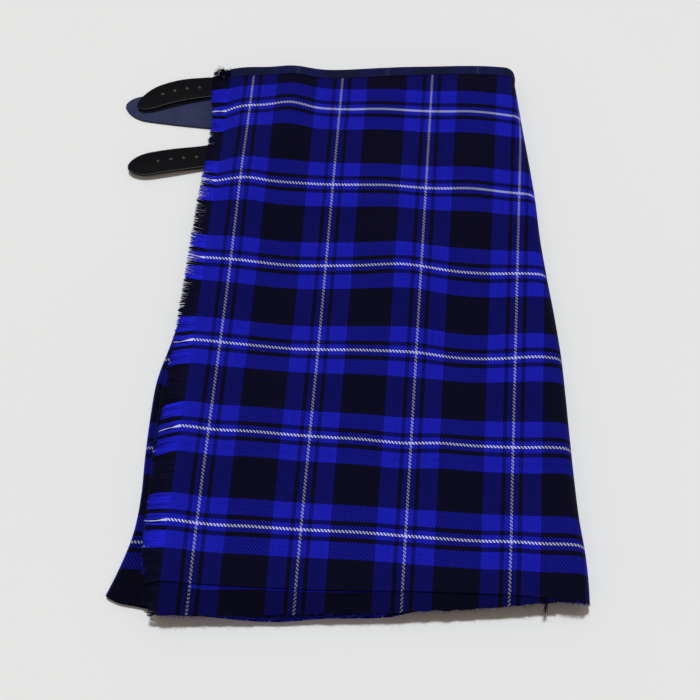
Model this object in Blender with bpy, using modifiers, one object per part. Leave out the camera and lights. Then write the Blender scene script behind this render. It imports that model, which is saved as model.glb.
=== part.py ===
"""Scottish kilt, wrapped and laid flat on its pleated back, with its straps out at the left.

Metres, +Z up. The waist is toward +Y and the hem toward -Y. Tables and functions work in
millimetres in the tartan's own frame: x = 0 and y = 0 where the first white lines of the outer
apron cross, z = 0 on the table. place() turns them into metres round the middle of the outline.
"""

import math
from collections import namedtuple

import bmesh
import bpy
from mathutils import Vector

# Frame
MM = 0.001
MIDDLE_X = 112.14
MIDDLE_Y = -252.32

# Cloth and leather
APRON_WALL = 1.5
LAYER_WALL = 1.2
PLEAT_WALL = 1.0
SEAM_GAP = 0.3

# Outer apron
APRON_MEAN_TOP = 22.5
APRON_LEAST_TOP = 14.9
APRON_EDGE_X = -26.0
HEM_SAG = 4.0
HEM_SAG_FROM = -490.0
HEM_SAG_TO = -560.0
ROLL_RADIUS = 11.0
ROLL_HEM_RISE = 6.0
ROLL_HEM_FADE = 8
WAIST_Y = 50.6
WAIST_RISE = 0.042
WAIST_DIP = 3.5
WAIST_DIP_X = 88.0
WAIST_DIP_HALF = 48.0
# Where along x the heights of the right roll, of the left folds and of the middle are taken
ROLL_AT_WAIST_X = 280.0
ROLL_AT_HEM_X = 350.0
FOLD_AT_WAIST_X = 0.0
FOLD_AT_HEM_X = -40.0
MIDDLE_AT_X = 120.0

# Layers beneath
UNDER_LEAST_TOP = 12.4
LAYER_GAP = 0.9
UNDER_LIFT = 0.6
UNDER_LIFT_AT_FOLD = 0.2
UNDER_LIFT_FROM_X = -45.0
UNDER_LIFT_TO_X = 5.0
UNDER_FOLD_RADIUS = 2.6
UNDER_FOLD_FLOOR = 8.6
UNDER_TUCK = 22.0
UNDER_SHORT_OF_ROLL = 15.0
SIDE_PLEAT_TOP = 8.0
SIDE_FOLD_RADIUS = 4.5
SIDE_UPPER_REACH = 34.0

# Pleats, between two straight lines that spread toward the hem
PLEATS = 18
PLEATS_LENGTH = 600.0
PLEATS_LEFT_AT_WAIST = 26.0
PLEATS_LEFT_AT_HEM = -36.0
PLEATS_RIGHT_AT_WAIST = 247.0
PLEATS_RIGHT_AT_HEM = 327.0
INNER_FOLD_REACH = 18.0
TUCK_GAP = 0.9
PLY_PITCH = 1.5
DEPTH_AT_HEM = 2.3
DEPTH_AT_WAIST = 1.7
PLEAT_TOP_LIFT = 1.6

# Waistband
BAND_DEPTH = 9.5
BAND_WALL = 1.2
BAND_GAP = 0.5
BAND_LEAST_Z = 2.4
BACK_BAND_DEPTH = 11.0
BACK_BAND_SHORT = 2.4
BACK_BAND_COLUMNS = 6

# Hem band
HEM_LAP = 8.0
HEM_BAND_TO_X = 331.0
HEM_BAND_COLUMNS = 28
HEM_BAND_ROWS = 3

# Fringe
LOCKS = 150
LOCK_SHARE = 0.76
FRINGE_FROM_Y = 49.0
FRINGE_TO_Y = -567.0
FRINGE_STRIP = 1.2
FRINGE_SUNK = 0.2
FRINGE_LEAN = 0.8
FRINGE_DROOP = 5.0
FRINGE_DROOP_FROM_Z = 9.5
FRINGE_DROOP_TO_Z = 16.0

Ring = namedtuple("Ring", "reach width droop")
# Each lock's shape beyond its root, as shares of its whole reach, width and droop
LOCK_RINGS = (
    Ring(reach=0.55, width=0.8, droop=0.4),
    Ring(reach=1.0, width=0.3, droop=1.0),
)
Wave = namedtuple("Wave", "height rate start")
# What makes the locks' lengths uneven, and what sways their ends, from lock to lock
UNEVEN = (Wave(height=1.3, rate=2.1, start=0.0), Wave(height=0.9, rate=0.73, start=1.0))
SWAY = Wave(height=0.5, rate=1.7, start=0.0)

Reach = namedtuple("Reach", "y length")
# How far the fringe reaches to the left, down the apron's edge
REACHES = (
    Reach(y=56, length=19.0),
    Reach(y=20, length=18.2),
    Reach(y=0, length=14.2),
    Reach(y=-60, length=14.4),
    Reach(y=-150, length=16.4),
    Reach(y=-240, length=18.4),
    Reach(y=-320, length=19.8),
    Reach(y=-420, length=20.5),
    Reach(y=-505, length=20.0),
    Reach(y=-530, length=14.5),
    Reach(y=-548, length=9.5),
    Reach(y=-568, length=8.5),
)

Fold = namedtuple("Fold", "x y half_width half_length turn height")
# Soft ridges and hollows of the outer apron: middle, spread across and along, turn in degrees, height
FOLDS = (
    Fold(x=43, y=0, half_width=16, half_length=45, turn=0, height=10),
    Fold(x=150, y=0, half_width=30, half_length=66, turn=-6, height=5),
    Fold(x=238, y=16, half_width=34, half_length=60, turn=0, height=8),
    Fold(x=8, y=-96, half_width=15, half_length=48, turn=4, height=6),
    Fold(x=240, y=-100, half_width=22, half_length=40, turn=0, height=4),
    Fold(x=66, y=-235, half_width=38, half_length=74, turn=8, height=-8.5),
    Fold(x=174, y=-190, half_width=23, half_length=60, turn=12, height=7),
    Fold(x=242, y=-268, half_width=28, half_length=66, turn=-4, height=-7.5),
    Fold(x=312, y=-275, half_width=18, half_length=56, turn=8, height=4),
    Fold(x=-24, y=-440, half_width=16, half_length=86, turn=0, height=8),
    Fold(x=44, y=-415, half_width=25, half_length=56, turn=5, height=4),
    Fold(x=182, y=-384, half_width=20, half_length=42, turn=0, height=-4),
    Fold(x=222, y=-402, half_width=16, half_length=36, turn=0, height=3),
    Fold(x=152, y=-488, half_width=40, half_length=38, turn=0, height=4),
    Fold(x=336, y=-440, half_width=20, half_length=86, turn=8, height=6),
    Fold(x=292, y=-490, half_width=15, half_length=30, turn=0, height=4),
    Fold(x=-36, y=-20, half_width=14, half_length=50, turn=0, height=-16),
)

Side = namedtuple("Side", "y roll_x under_x side_x")
# Each level down the kilt: outermost x of the right roll, of the under apron's fold and of the side pleat
SIDES = (
    Side(y=64, roll_x=278.5, under_x=-2.0, side_x=-3.0),
    Side(y=52, roll_x=281.0, under_x=-2.0, side_x=-3.5),
    Side(y=0, roll_x=289.5, under_x=-2.5, side_x=-4.5),
    Side(y=-92, roll_x=305.0, under_x=-4.0, side_x=-7.0),
    Side(y=-145, roll_x=311.5, under_x=-19.0, side_x=-22.0),
    Side(y=-192, roll_x=319.0, under_x=-31.0, side_x=-34.0),
    Side(y=-237, roll_x=326.8, under_x=-39.0, side_x=-42.5),
    Side(y=-282, roll_x=333.6, under_x=-45.0, side_x=-50.5),
    Side(y=-325, roll_x=338.2, under_x=-51.0, side_x=-59.0),
    Side(y=-363, roll_x=341.8, under_x=-52.0, side_x=-60.5),
    Side(y=-408, roll_x=346.2, under_x=-52.0, side_x=-60.0),
    Side(y=-449, roll_x=351.0, under_x=-50.5, side_x=-58.3),
    Side(y=-487, roll_x=357.3, under_x=-50.0, side_x=-60.3),
    Side(y=-525, roll_x=361.0, under_x=-47.0, side_x=-68.6),
    Side(y=-565, roll_x=361.8, under_x=-40.0, side_x=-80.0),
)

Hem = namedtuple("Hem", "x crease band under")
# Each place across the hem: y of the apron's crease, of the hem band's raw edge and of the layers beneath
HEMS = (
    Hem(x=-80, crease=-537.0, band=-568.5, under=-546.5),
    Hem(x=-65, crease=-537.0, band=-568.5, under=-552.5),
    Hem(x=-50, crease=-536.9, band=-568.5, under=-554.5),
    Hem(x=-28, crease=-536.7, band=-568.3, under=-557.5),
    Hem(x=0, crease=-536.2, band=-565.8, under=-559.0),
    Hem(x=60, crease=-535.7, band=-561.4, under=-561.5),
    Hem(x=90, crease=-535.5, band=-558.8, under=-560.0),
    Hem(x=120, crease=-535.0, band=-556.0, under=-555.0),
    Hem(x=180, crease=-532.0, band=-551.4, under=-550.0),
    Hem(x=205, crease=-530.4, band=-548.4, under=-542.5),
    Hem(x=250, crease=-529.0, band=-543.4, under=-535.5),
    Hem(x=300, crease=-528.6, band=-536.4, under=-527.5),
    Hem(x=320, crease=-529.4, band=-533.8, under=-525.0),
    Hem(x=335, crease=-530.4, band=-532.4, under=-523.0),
    Hem(x=370, crease=-531.4, band=-531.8, under=-518.0),
)

Line = namedtuple("Line", "root_x root_y tip_x tip_y bow")
Lift = namedtuple("Lift", "root middle tip arch")
Holes = namedtuple("Holes", "count first")
Strap = namedtuple("Strap", "name line root_width width wall lift holes")
# Each strap's centre line with its sideways bow, width at its root and along it, thickness, heights of its
# underside with its arch across, and its holes: how many, and how far the first is from the tip
STRAPS = (
    Strap(
        name="strap_waist", line=Line(-13.0, 36.5, -123.3, 5.3, 8.6), root_width=27.0, width=27.0, wall=3.0,
        lift=Lift(4.6, 7.4, 5.4, 1.4), holes=Holes(4, 28.8),
    ),
    Strap(
        name="strap_hip", line=Line(-13.0, -50.5, -122.5, -76.5, 1.2), root_width=27.0, width=27.0, wall=3.0,
        lift=Lift(3.6, 6.2, 5.0, 1.4), holes=Holes(4, 32.5),
    ),
    Strap(
        name="strap_under", line=Line(-14.0, 3.0, -136.7, 7.0, -1.8), root_width=41.0, width=31.0, wall=2.6,
        lift=Lift(0.0, 0.0, 0.0, 0.0), holes=Holes(0, 0.0),
    ),
)
HOLE_PITCH = 13.5
HOLE_DIAMETER = 3.0
HOLE_SIDES = 8
PUNCH_DEPTH = 18.0
TIP_LENGTH = 27.0
TIP_CURVE = 2.3
TIP_FULLNESS = 0.6
TIP_LEAST = 0.16
# Shares of a strap's length between which it rises off the table and comes down again
STRAP_RISES = (0.30, 0.62)
STRAP_FALLS = (0.70, 1.0)

Finish = namedtuple("Finish", "colour roughness")
TARTAN = Finish((0.010, 0.012, 0.16, 1.0), 0.85)
TARTAN_DARK = Finish((0.004, 0.004, 0.02, 1.0), 0.88)
THREADS = Finish((0.02, 0.02, 0.20, 1.0), 0.9)
LEATHER = Finish((0.010, 0.010, 0.012, 1.0), 0.42)
SUEDE = Finish((0.030, 0.035, 0.085, 1.0), 0.9)


def place(x, y, z):
    """A point of the working frame in metres, round the middle of the kilt's outline."""
    return Vector(((x - MIDDLE_X) * MM, (y - MIDDLE_Y) * MM, z * MM))


def blend(a, b, share):
    return a + (b - a) * share


def smooth_step(low, high, value):
    share = min(max((value - low) / (high - low), 0.0), 1.0)
    return share * share * (3.0 - 2.0 * share)


def read(table, key, field, value):
    """A smooth curve through one column of a table, read at a place in its key column."""
    rows = sorted(table, key=lambda row: getattr(row, key))
    keys = [getattr(row, key) for row in rows]
    column = [getattr(row, field) for row in rows]
    if value <= keys[0]:
        return column[0]
    if value >= keys[-1]:
        return column[-1]
    i = max(k for k in range(len(keys) - 1) if keys[k] <= value)

    def slope(k):
        before = max(k - 1, 0)
        after = min(k + 1, len(keys) - 1)
        return (column[after] - column[before]) / (keys[after] - keys[before])

    span = keys[i + 1] - keys[i]
    t = (value - keys[i]) / span
    start = (2 * t**3 - 3 * t**2 + 1) * column[i] + (t**3 - 2 * t**2 + t) * span * slope(i)
    end = (3 * t**2 - 2 * t**3) * column[i + 1] + (t**3 - t**2) * span * slope(i + 1)
    return start + end


def side(field, y):
    return read(SIDES, "y", field, y)


def hem(field, x):
    return read(HEMS, "x", field, x)


def waist_y(x):
    """The waist's top edge, rising a little to the right, with a shallow dip."""
    dip = WAIST_DIP * math.exp(-(((x - WAIST_DIP_X) / WAIST_DIP_HALF) ** 2) / 2.0)
    return WAIST_Y + WAIST_RISE * x - dip


def apron_top(x, y):
    """Height of the outer apron's upper surface, with its soft folds."""
    height = APRON_MEAN_TOP - HEM_SAG * smooth_step(HEM_SAG_FROM, HEM_SAG_TO, y)
    for fold in FOLDS:
        turn = math.radians(fold.turn)
        across = (x - fold.x) * math.cos(turn) + (y - fold.y) * math.sin(turn)
        along = (y - fold.y) * math.cos(turn) - (x - fold.x) * math.sin(turn)
        spread = (across / fold.half_width) ** 2 + (along / fold.half_length) ** 2
        height += fold.height * math.exp(-spread / 2.0)
    if x < 0.0:
        return height
    return max(height, APRON_LEAST_TOP)


def under_top(x, y):
    """Height of the under apron's upper surface, which follows the outer apron's folds a little."""
    room = apron_top(x, y) - APRON_WALL - UNDER_LEAST_TOP - LAYER_GAP
    lift = blend(UNDER_LIFT_AT_FOLD, UNDER_LIFT, smooth_step(UNDER_LIFT_FROM_X, UNDER_LIFT_TO_X, x))
    return UNDER_LEAST_TOP + lift * max(room, 0.0)


def pleats_left_x(down):
    """The first pleat's edge, at a distance down from the waist."""
    return blend(PLEATS_LEFT_AT_WAIST, PLEATS_LEFT_AT_HEM, down / PLEATS_LENGTH)


def pleats_right_x(down):
    """The last pleat's end, at a distance down from the waist."""
    return blend(PLEATS_RIGHT_AT_WAIST, PLEATS_RIGHT_AT_HEM, down / PLEATS_LENGTH)


def level(top_y, bottom_y, share):
    """A place between the hem, share 0, and the waist, share 1."""
    return blend(bottom_y, top_y, share)


APRON_COLUMNS = 28
APRON_ROWS = 21
ROLL_STEPS = 7


def apron_section(share):
    """The outer surface of the outer apron at one level, from its fringed edge, over the roll, to the tuck."""
    right_y = level(waist_y(ROLL_AT_WAIST_X), hem("crease", ROLL_AT_HEM_X), share)
    middle_x = side("roll_x", right_y) - ROLL_RADIUS
    points = []
    for i in range(APRON_COLUMNS + 1):
        x = blend(APRON_EDGE_X, middle_x, i / APRON_COLUMNS)
        y = level(waist_y(x), hem("crease", x), share)
        points.append((x, y, apron_top(x, y)))
    top_y, top = points[-1][1:]
    rise = ROLL_HEM_RISE * (1.0 - share) ** ROLL_HEM_FADE
    for i in range(1, ROLL_STEPS + 1):
        angle = math.pi / 2.0 - math.pi * i / ROLL_STEPS
        x = middle_x + ROLL_RADIUS * math.cos(angle)
        height = (1.0 + math.sin(angle)) / 2.0
        points.append((x, top_y + rise * (1.0 - height), top * height))
    last_y = top_y + rise
    down = waist_y(middle_x) - last_y
    points.append((pleats_right_x(down) + TUCK_GAP, last_y, 0.0))
    return points


def folded_section(share, fold_field, radius, top_of, floor, tuck_to, reach_x, top_y_of, bottom_field):
    """The outer surface of a layer folded at its left: tuck beneath, round the fold, then the upper ply."""
    fold_y = level(top_y_of(FOLD_AT_WAIST_X), hem(bottom_field, FOLD_AT_HEM_X), share)
    middle_x = side(fold_field, fold_y) + radius
    top = top_of(middle_x, fold_y)
    points = [(tuck_to(fold_y, middle_x), floor)]
    for i in range(FOLD_STEPS + 1):
        angle = -math.pi / 2.0 - math.pi * i / FOLD_STEPS
        x = middle_x + radius * math.cos(angle)
        points.append((x, blend(floor, top, (1.0 + math.sin(angle)) / 2.0)))
    right_x = reach_x(fold_y, middle_x)
    for i in range(1, UPPER_COLUMNS + 1):
        x = blend(middle_x, right_x, i / UPPER_COLUMNS)
        y = level(top_y_of(x), hem(bottom_field, x), share)
        points.append((x, top_of(x, y)))
    return [(x, level(top_y_of(x), hem(bottom_field, x), share), z) for x, z in points]


FOLD_STEPS = 5
UPPER_COLUMNS = 20
UNDER_ROWS = 13
SIDE_ROWS = 14
APRON_HEIGHT = waist_y(MIDDLE_AT_X) - hem("crease", MIDDLE_AT_X)
UNDER_HEIGHT = waist_y(MIDDLE_AT_X) - hem("under", MIDDLE_AT_X)


def beneath_waist_y(x):
    return waist_y(x) - BAND_WALL - SEAM_GAP


def under_section(share):
    def reach(y, middle_x):
        return side("roll_x", y) - UNDER_SHORT_OF_ROLL

    def tuck(y, middle_x):
        return middle_x + UNDER_TUCK

    return folded_section(
        share, "under_x", UNDER_FOLD_RADIUS, under_top, UNDER_FOLD_FLOOR, tuck, reach, beneath_waist_y, "under"
    )


def side_section(share):
    def reach(y, middle_x):
        return middle_x + SIDE_UPPER_REACH

    def tuck(y, middle_x):
        return pleats_left_x(waist_y(middle_x) - y) - TUCK_GAP

    def flat_top(x, y):
        return SIDE_PLEAT_TOP

    def short_waist(x):
        return waist_y(x) - BAND_DEPTH

    return folded_section(
        share, "side_x", SIDE_FOLD_RADIUS, flat_top, 0.0, tuck, reach, short_waist, "under"
    )


def new_object(name, mesh, finish, collection):
    """One named piece with its own material."""
    piece = bpy.data.objects.new(name, mesh)
    material = bpy.data.materials.new(name)
    material.use_nodes = True
    shader = material.node_tree.nodes["Principled BSDF"]
    shader.inputs["Base Color"].default_value = finish.colour
    shader.inputs["Roughness"].default_value = finish.roughness
    mesh.materials.append(material)
    collection.objects.link(piece)
    return piece


def sheet_mesh(name, sections):
    """A grid shaped by its sections, listed from the hem to the waist, its outer side facing out."""
    columns = len(sections[0]) - 1
    rows = len(sections) - 1
    bm = bmesh.new()
    bmesh.ops.create_grid(bm, x_segments=columns, y_segments=rows, size=1.0)
    for vertex in bm.verts:
        i = round((vertex.co.x + 1.0) / 2.0 * columns)
        j = round((vertex.co.y + 1.0) / 2.0 * rows)
        vertex.co = place(*sections[j][i])
    mesh = bpy.data.meshes.new(name)
    bm.to_mesh(mesh)
    bm.free()
    return mesh


def cloth_piece(name, sections, wall, finish, collection):
    """An open sheet given its wall inward, so that its outer side stays where the sections put it."""
    piece = new_object(name, sheet_mesh(name, sections), finish, collection)
    solidify = piece.modifiers.new("Wall", "SOLIDIFY")
    solidify.thickness = wall * MM
    solidify.offset = -1.0
    solidify.use_even_offset = True
    return piece


def shares(rows):
    return [j / rows for j in range(rows + 1)]


def shares_with_band(rows, height):
    """Even levels from the hem to the waistband's lower edge, and one more at the cloth's top edge."""
    band_edge = 1.0 - BAND_DEPTH / height
    return [band_edge * j / rows for j in range(rows + 1)] + [1.0]


def build_apron(collection):
    sections = [apron_section(share) for share in shares_with_band(APRON_ROWS, APRON_HEIGHT)]
    return cloth_piece("apron_front", sections, APRON_WALL, TARTAN, collection)


def build_hem_band(collection):
    """The strip below the crease, lapped beneath the apron's edge and running out to nothing at the right."""
    drop = APRON_WALL + SEAM_GAP
    sections = []
    for share in shares(HEM_BAND_ROWS):
        section = []
        for i in range(HEM_BAND_COLUMNS + 1):
            x = blend(APRON_EDGE_X, HEM_BAND_TO_X, i / HEM_BAND_COLUMNS)
            y = blend(hem("band", x), hem("crease", x) + HEM_LAP, share)
            section.append((x, y, apron_top(x, y) - drop))
        sections.append(section)
    return cloth_piece("apron_hem_band", sections, LAYER_WALL, TARTAN_DARK, collection)


def build_under_apron(collection):
    sections = [under_section(share) for share in shares_with_band(UNDER_ROWS, UNDER_HEIGHT)]
    return cloth_piece("under_apron", sections, LAYER_WALL, TARTAN, collection)


def build_side_pleat(collection):
    sections = [side_section(share) for share in shares(SIDE_ROWS)]
    return cloth_piece("side_pleat", sections, LAYER_WALL, TARTAN, collection)


def pleat_line(down, lift):
    """Centre line of the pleated cloth at one level: for each, face on the table, riser, deep fold, return."""
    left = pleats_left_x(down)
    right = pleats_right_x(down)
    reveal = (right - left) / PLEATS
    depth_share = blend(DEPTH_AT_WAIST, DEPTH_AT_HEM, down / PLEATS_LENGTH)
    floor = PLEAT_WALL / 2.0 + lift
    slant = 2.0 * PLY_PITCH / reveal
    inner_limit = right + INNER_FOLD_REACH
    line = [(left, floor)]
    for k in range(1, PLEATS):
        edge = left + k * reveal
        depth = min(depth_share * reveal, inner_limit - edge)
        rise = depth * slant
        line.append((edge - PLY_PITCH, floor))
        line.append((edge - PLY_PITCH, floor + 2.0 * PLY_PITCH))
        line.append((edge + depth, floor + 2.0 * PLY_PITCH + rise))
        line.append((edge + depth, floor + PLY_PITCH + rise))
        line.append((edge, floor + PLY_PITCH))
        line.append((edge, floor))
    line.append((right, floor))
    return line


def offset_line(line, distance):
    """A line moved sideways by a distance, with mitred corners."""
    moved = []
    for i, (x, z) in enumerate(line):
        normals = []
        if i > 0:
            normals.append(side_normal(line[i - 1], line[i]))
        if i < len(line) - 1:
            normals.append(side_normal(line[i], line[i + 1]))
        total = Vector((0.0, 0.0))
        for normal in normals:
            total += normal
        total.normalize()
        reach = distance / total.dot(normals[0])
        moved.append((x + total.x * reach, z + total.y * reach))
    return moved


def side_normal(a, b):
    direction = Vector((b[0] - a[0], b[1] - a[1])).normalized()
    return Vector((-direction.y, direction.x))


def loft(name, outer, inner, finish, collection):
    """A wall between two grids of points, closed all round its edges."""
    rows = len(outer)
    columns = len(outer[0])
    bm = bmesh.new()
    top = [[bm.verts.new(place(*point)) for point in row] for row in outer]
    under = [[bm.verts.new(place(*point)) for point in row] for row in inner]
    for j in range(rows - 1):
        for i in range(columns - 1):
            bm.faces.new((top[j][i], top[j][i + 1], top[j + 1][i + 1], top[j + 1][i]))
            bm.faces.new((under[j][i], under[j + 1][i], under[j + 1][i + 1], under[j][i + 1]))
    for j in range(rows - 1):
        bm.faces.new((top[j][0], top[j + 1][0], under[j + 1][0], under[j][0]))
        bm.faces.new((top[j][-1], under[j][-1], under[j + 1][-1], top[j + 1][-1]))
    for i in range(columns - 1):
        bm.faces.new((top[0][i], under[0][i], under[0][i + 1], top[0][i + 1]))
        bm.faces.new((top[-1][i], top[-1][i + 1], under[-1][i + 1], under[-1][i]))
    mesh = bpy.data.meshes.new(name)
    bm.to_mesh(mesh)
    bm.free()
    return new_object(name, mesh, finish, collection)


Level = namedtuple("Level", "down lift")
# Levels of the pleats measured down from the waist, and how far the band lifts them off the table
PLEAT_LEVELS = (
    Level(down=300.0, lift=0.0),
    Level(down=17.0, lift=0.0),
    Level(down=13.0, lift=PLEAT_TOP_LIFT),
    Level(down=4.2, lift=PLEAT_TOP_LIFT),
)


def pleat_row(down, lift, offset):
    """One side of the pleated wall at one level."""
    line = offset_line(pleat_line(down, lift), offset)
    return [(x, waist_y(x) - down, z) for x, z in line]


def pleat_hem_row(offset):
    """The pleats' raw edge: each point slides along its own straight fold to the hem's line."""
    upper = pleat_row(PLEAT_LEVELS[0].down, 0.0, offset)
    lower = pleat_row(PLEATS_LENGTH, 0.0, offset)
    row = []
    for start, end in zip(upper, lower):
        share = (start[1] - hem("under", end[0])) / (start[1] - end[1])
        row.append(tuple(blend(a, b, share) for a, b in zip(start, end)))
    return row


def build_pleats(collection):
    """The pleated back. Its hem follows the layers beneath, its top end stands in the band."""
    grids = []
    for offset in (PLEAT_WALL / 2.0, -PLEAT_WALL / 2.0):
        rows = [pleat_hem_row(offset)]
        for step in PLEAT_LEVELS:
            rows.append(pleat_row(step.down, step.lift, offset))
        grids.append(rows)
    return loft("pleated_back", grids[0], grids[1], TARTAN, collection)


def section_normals(section):
    """The outward direction at each point of a section."""
    last = len(section) - 1
    normals = []
    for i in range(len(section)):
        before = section[max(i - 1, 0)]
        after = section[min(i + 1, last)]
        normals.append(side_normal((before[0], before[2]), (after[0], after[2])))
    return normals


def moved_out(section, keep, distance, lift_y):
    """The kept points of a section, moved along their normals."""
    moved = []
    for (x, y, z), normal in zip(section, section_normals(section)):
        if keep((x, y, z)):
            moved.append((x + normal.x * distance, y + lift_y, z + normal.y * distance))
    return moved


def build_waistband(name, section_of, height, wall, keep, collection):
    """A band round the top edge of a cloth, made from that cloth's own points."""
    low = section_of(1.0 - BAND_DEPTH / height)
    top = section_of(1.0)
    outside = BAND_GAP + BAND_WALL
    inside = -(wall + BAND_GAP + BAND_WALL)
    lines = [
        moved_out(low, keep, outside, 0.0),
        moved_out(top, keep, outside, outside),
        moved_out(top, keep, inside, outside),
        moved_out(low, keep, inside, 0.0),
    ]
    return cloth_piece(name, lines, BAND_WALL, TARTAN_DARK, collection)


def build_front_band(collection):
    def above_table(point):
        return point[2] > BAND_LEAST_Z

    return build_waistband(
        "waistband_front", apron_section, APRON_HEIGHT, APRON_WALL, above_table, collection
    )


def build_under_band(collection):
    fold_x = side("under_x", WAIST_Y) + UNDER_FOLD_RADIUS

    def on_upper_ply(point):
        return point[0] > fold_x + 1.0 and point[2] > UNDER_LEAST_TOP

    return build_waistband(
        "waistband_under", under_section, UNDER_HEIGHT, LAYER_WALL, on_upper_ply, collection
    )


def build_back_band(collection):
    """A channel that holds the pleats' top ends, its lower leg on the table."""
    rise = DEPTH_AT_WAIST * 2.0
    stack = PLEAT_TOP_LIFT + PLEAT_WALL + PLY_PITCH * (2.0 + rise)
    upper = stack + SEAM_GAP + BAND_WALL
    left = pleats_left_x(0.0)
    right = pleats_right_x(0.0)
    xs = [blend(left, right, i / BACK_BAND_COLUMNS) for i in range(BACK_BAND_COLUMNS + 1)]
    # Each leg's distance below the waist line and its height
    path = ((BACK_BAND_DEPTH, upper), (BACK_BAND_SHORT, upper), (BACK_BAND_SHORT, 0.0), (BACK_BAND_DEPTH, 0.0))
    lines = [[(x, waist_y(x) - down, z) for x in xs] for down, z in path]
    return cloth_piece("waistband_back", lines, BAND_WALL, TARTAN_DARK, collection)


def strap_point(strap, along, across):
    """A point of a strap's underside: along runs from root 0 to tip 1, across from -1 to 1."""
    root = Vector((strap.line.root_x, strap.line.root_y))
    axis = Vector((strap.line.tip_x, strap.line.tip_y)) - root
    length = axis.length
    forward = axis.normalized()
    left = Vector((-forward.y, forward.x))
    bow = 4.0 * strap.line.bow * along * (1.0 - along)
    slope = 4.0 * strap.line.bow * (1.0 - 2.0 * along) / length
    turned = (left - forward * slope).normalized()
    from_tip = (1.0 - along) * length
    taper = 1.0
    if from_tip < TIP_LENGTH:
        taper = max((1.0 - (1.0 - from_tip / TIP_LENGTH) ** TIP_CURVE) ** TIP_FULLNESS, TIP_LEAST)
    centre = root + forward * (along * length) - left * bow
    spot = centre + turned * (across * taper * blend(strap.root_width, strap.width, along) / 2.0)
    rise = smooth_step(*STRAP_RISES, along)
    fall = smooth_step(*STRAP_FALLS, along)
    z = blend(blend(strap.lift.root, strap.lift.middle, rise), strap.lift.tip, fall)
    z -= strap.lift.arch * rise * (across * taper) ** 2
    return spot.x, spot.y, z


def strap_length(strap):
    return math.hypot(strap.line.tip_x - strap.line.root_x, strap.line.tip_y - strap.line.root_y)


STRAP_COLUMNS = 18
STRAP_ROWS = 6
TIP_ROWS = 8


def build_strap(strap, collection, cutters):
    """A flat strap with a rounded point, arched across, its holes cut through."""
    tip_share = 1.0 - TIP_LENGTH / strap_length(strap)
    stops = [tip_share * i / (STRAP_COLUMNS - TIP_ROWS) for i in range(STRAP_COLUMNS - TIP_ROWS + 1)]
    for i in range(1, TIP_ROWS + 1):
        stops.append(tip_share + (1.0 - tip_share) * math.sin(math.pi / 2.0 * i / TIP_ROWS))
    sections = []
    for j in range(STRAP_ROWS + 1):
        across = 1.0 - 2.0 * j / STRAP_ROWS
        sections.append([strap_point(strap, along, across) for along in stops])
    finish = LEATHER if strap.holes.count else SUEDE
    piece = new_object(strap.name, sheet_mesh(strap.name, sections), finish, collection)
    solidify = piece.modifiers.new("Wall", "SOLIDIFY")
    solidify.thickness = strap.wall * MM
    solidify.offset = -1.0
    solidify.use_even_offset = True
    for k in range(strap.holes.count):
        along = 1.0 - (strap.holes.first + HOLE_PITCH * k) / strap_length(strap)
        x, y, z = strap_point(strap, along, 0.0)
        cut_hole(piece, strap.name + "_hole_" + str(k + 1), place(x, y, z), cutters)
    return piece


def cut_hole(piece, name, centre, cutters):
    """A round punch through the strap."""
    bm = bmesh.new()
    radius = HOLE_DIAMETER / 2.0 * MM
    bmesh.ops.create_cone(
        bm, cap_ends=True, segments=HOLE_SIDES, radius1=radius, radius2=radius, depth=PUNCH_DEPTH * MM
    )
    mesh = bpy.data.meshes.new(name)
    bm.to_mesh(mesh)
    bm.free()
    cutter = bpy.data.objects.new(name, mesh)
    cutter.location = centre
    cutter.hide_render = True
    cutter.display_type = "WIRE"
    cutters.objects.link(cutter)
    boolean = piece.modifiers.new(name, "BOOLEAN")
    boolean.operation = "DIFFERENCE"
    boolean.solver = "EXACT"
    boolean.object = cutter


def fringe_reach(y):
    return read(REACHES, "y", "length", y)


def fringe_length(k):
    """Each lock's reach, uneven from lock to lock."""
    y = blend(FRINGE_FROM_Y, FRINGE_TO_Y, k / (LOCKS - 1))
    return fringe_reach(y) + sum(wave_at(wave, k) for wave in UNEVEN)


def wave_at(wave, k):
    return wave.height * math.sin(wave.rate * k + wave.start)


def build_fringe(collection):
    """A narrow root strip beside the apron's woven edge, with one tapered lock drawn out of each cell."""
    pitch = (FRINGE_FROM_Y - FRINGE_TO_Y) / LOCKS
    near = APRON_EDGE_X - SEAM_GAP
    far = near - FRINGE_STRIP
    stops = []
    for k in range(LOCKS):
        start = FRINGE_FROM_Y - pitch * k
        stops.append(start)
        stops.append(start - pitch * LOCK_SHARE)
    stops.append(FRINGE_TO_Y)
    stops.reverse()
    bm = bmesh.new()
    rings = []
    for y in stops:
        top = apron_top(APRON_EDGE_X, y) - FRINGE_SUNK
        corners = ((near, top), (far, top), (far, top - FRINGE_STRIP), (near, top - FRINGE_STRIP))
        rings.append([bm.verts.new(place(x, y, z)) for x, z in corners])
    cells = []
    for j in range(len(rings) - 1):
        low = rings[j]
        high = rings[j + 1]
        for i in range(4):
            after = (i + 1) % 4
            face = bm.faces.new((low[i], high[i], high[after], low[after]))
            if i == 1 and j % 2 == 1:
                cells.append(face)
    bm.faces.new(rings[0])
    bm.faces.new(list(reversed(rings[-1])))
    bmesh.ops.recalc_face_normals(bm, faces=bm.faces[:])
    cells.reverse()
    for ring in LOCK_RINGS:
        cells = bmesh.ops.extrude_discrete_faces(bm, faces=cells)["faces"]
        cells.sort(key=lambda face: -face.calc_center_median().y)
        for k, face in enumerate(cells):
            draw_lock(face, k, ring)
    mesh = bpy.data.meshes.new("apron_fringe")
    bm.to_mesh(mesh)
    bm.free()
    return new_object("apron_fringe", mesh, THREADS, collection)


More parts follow.
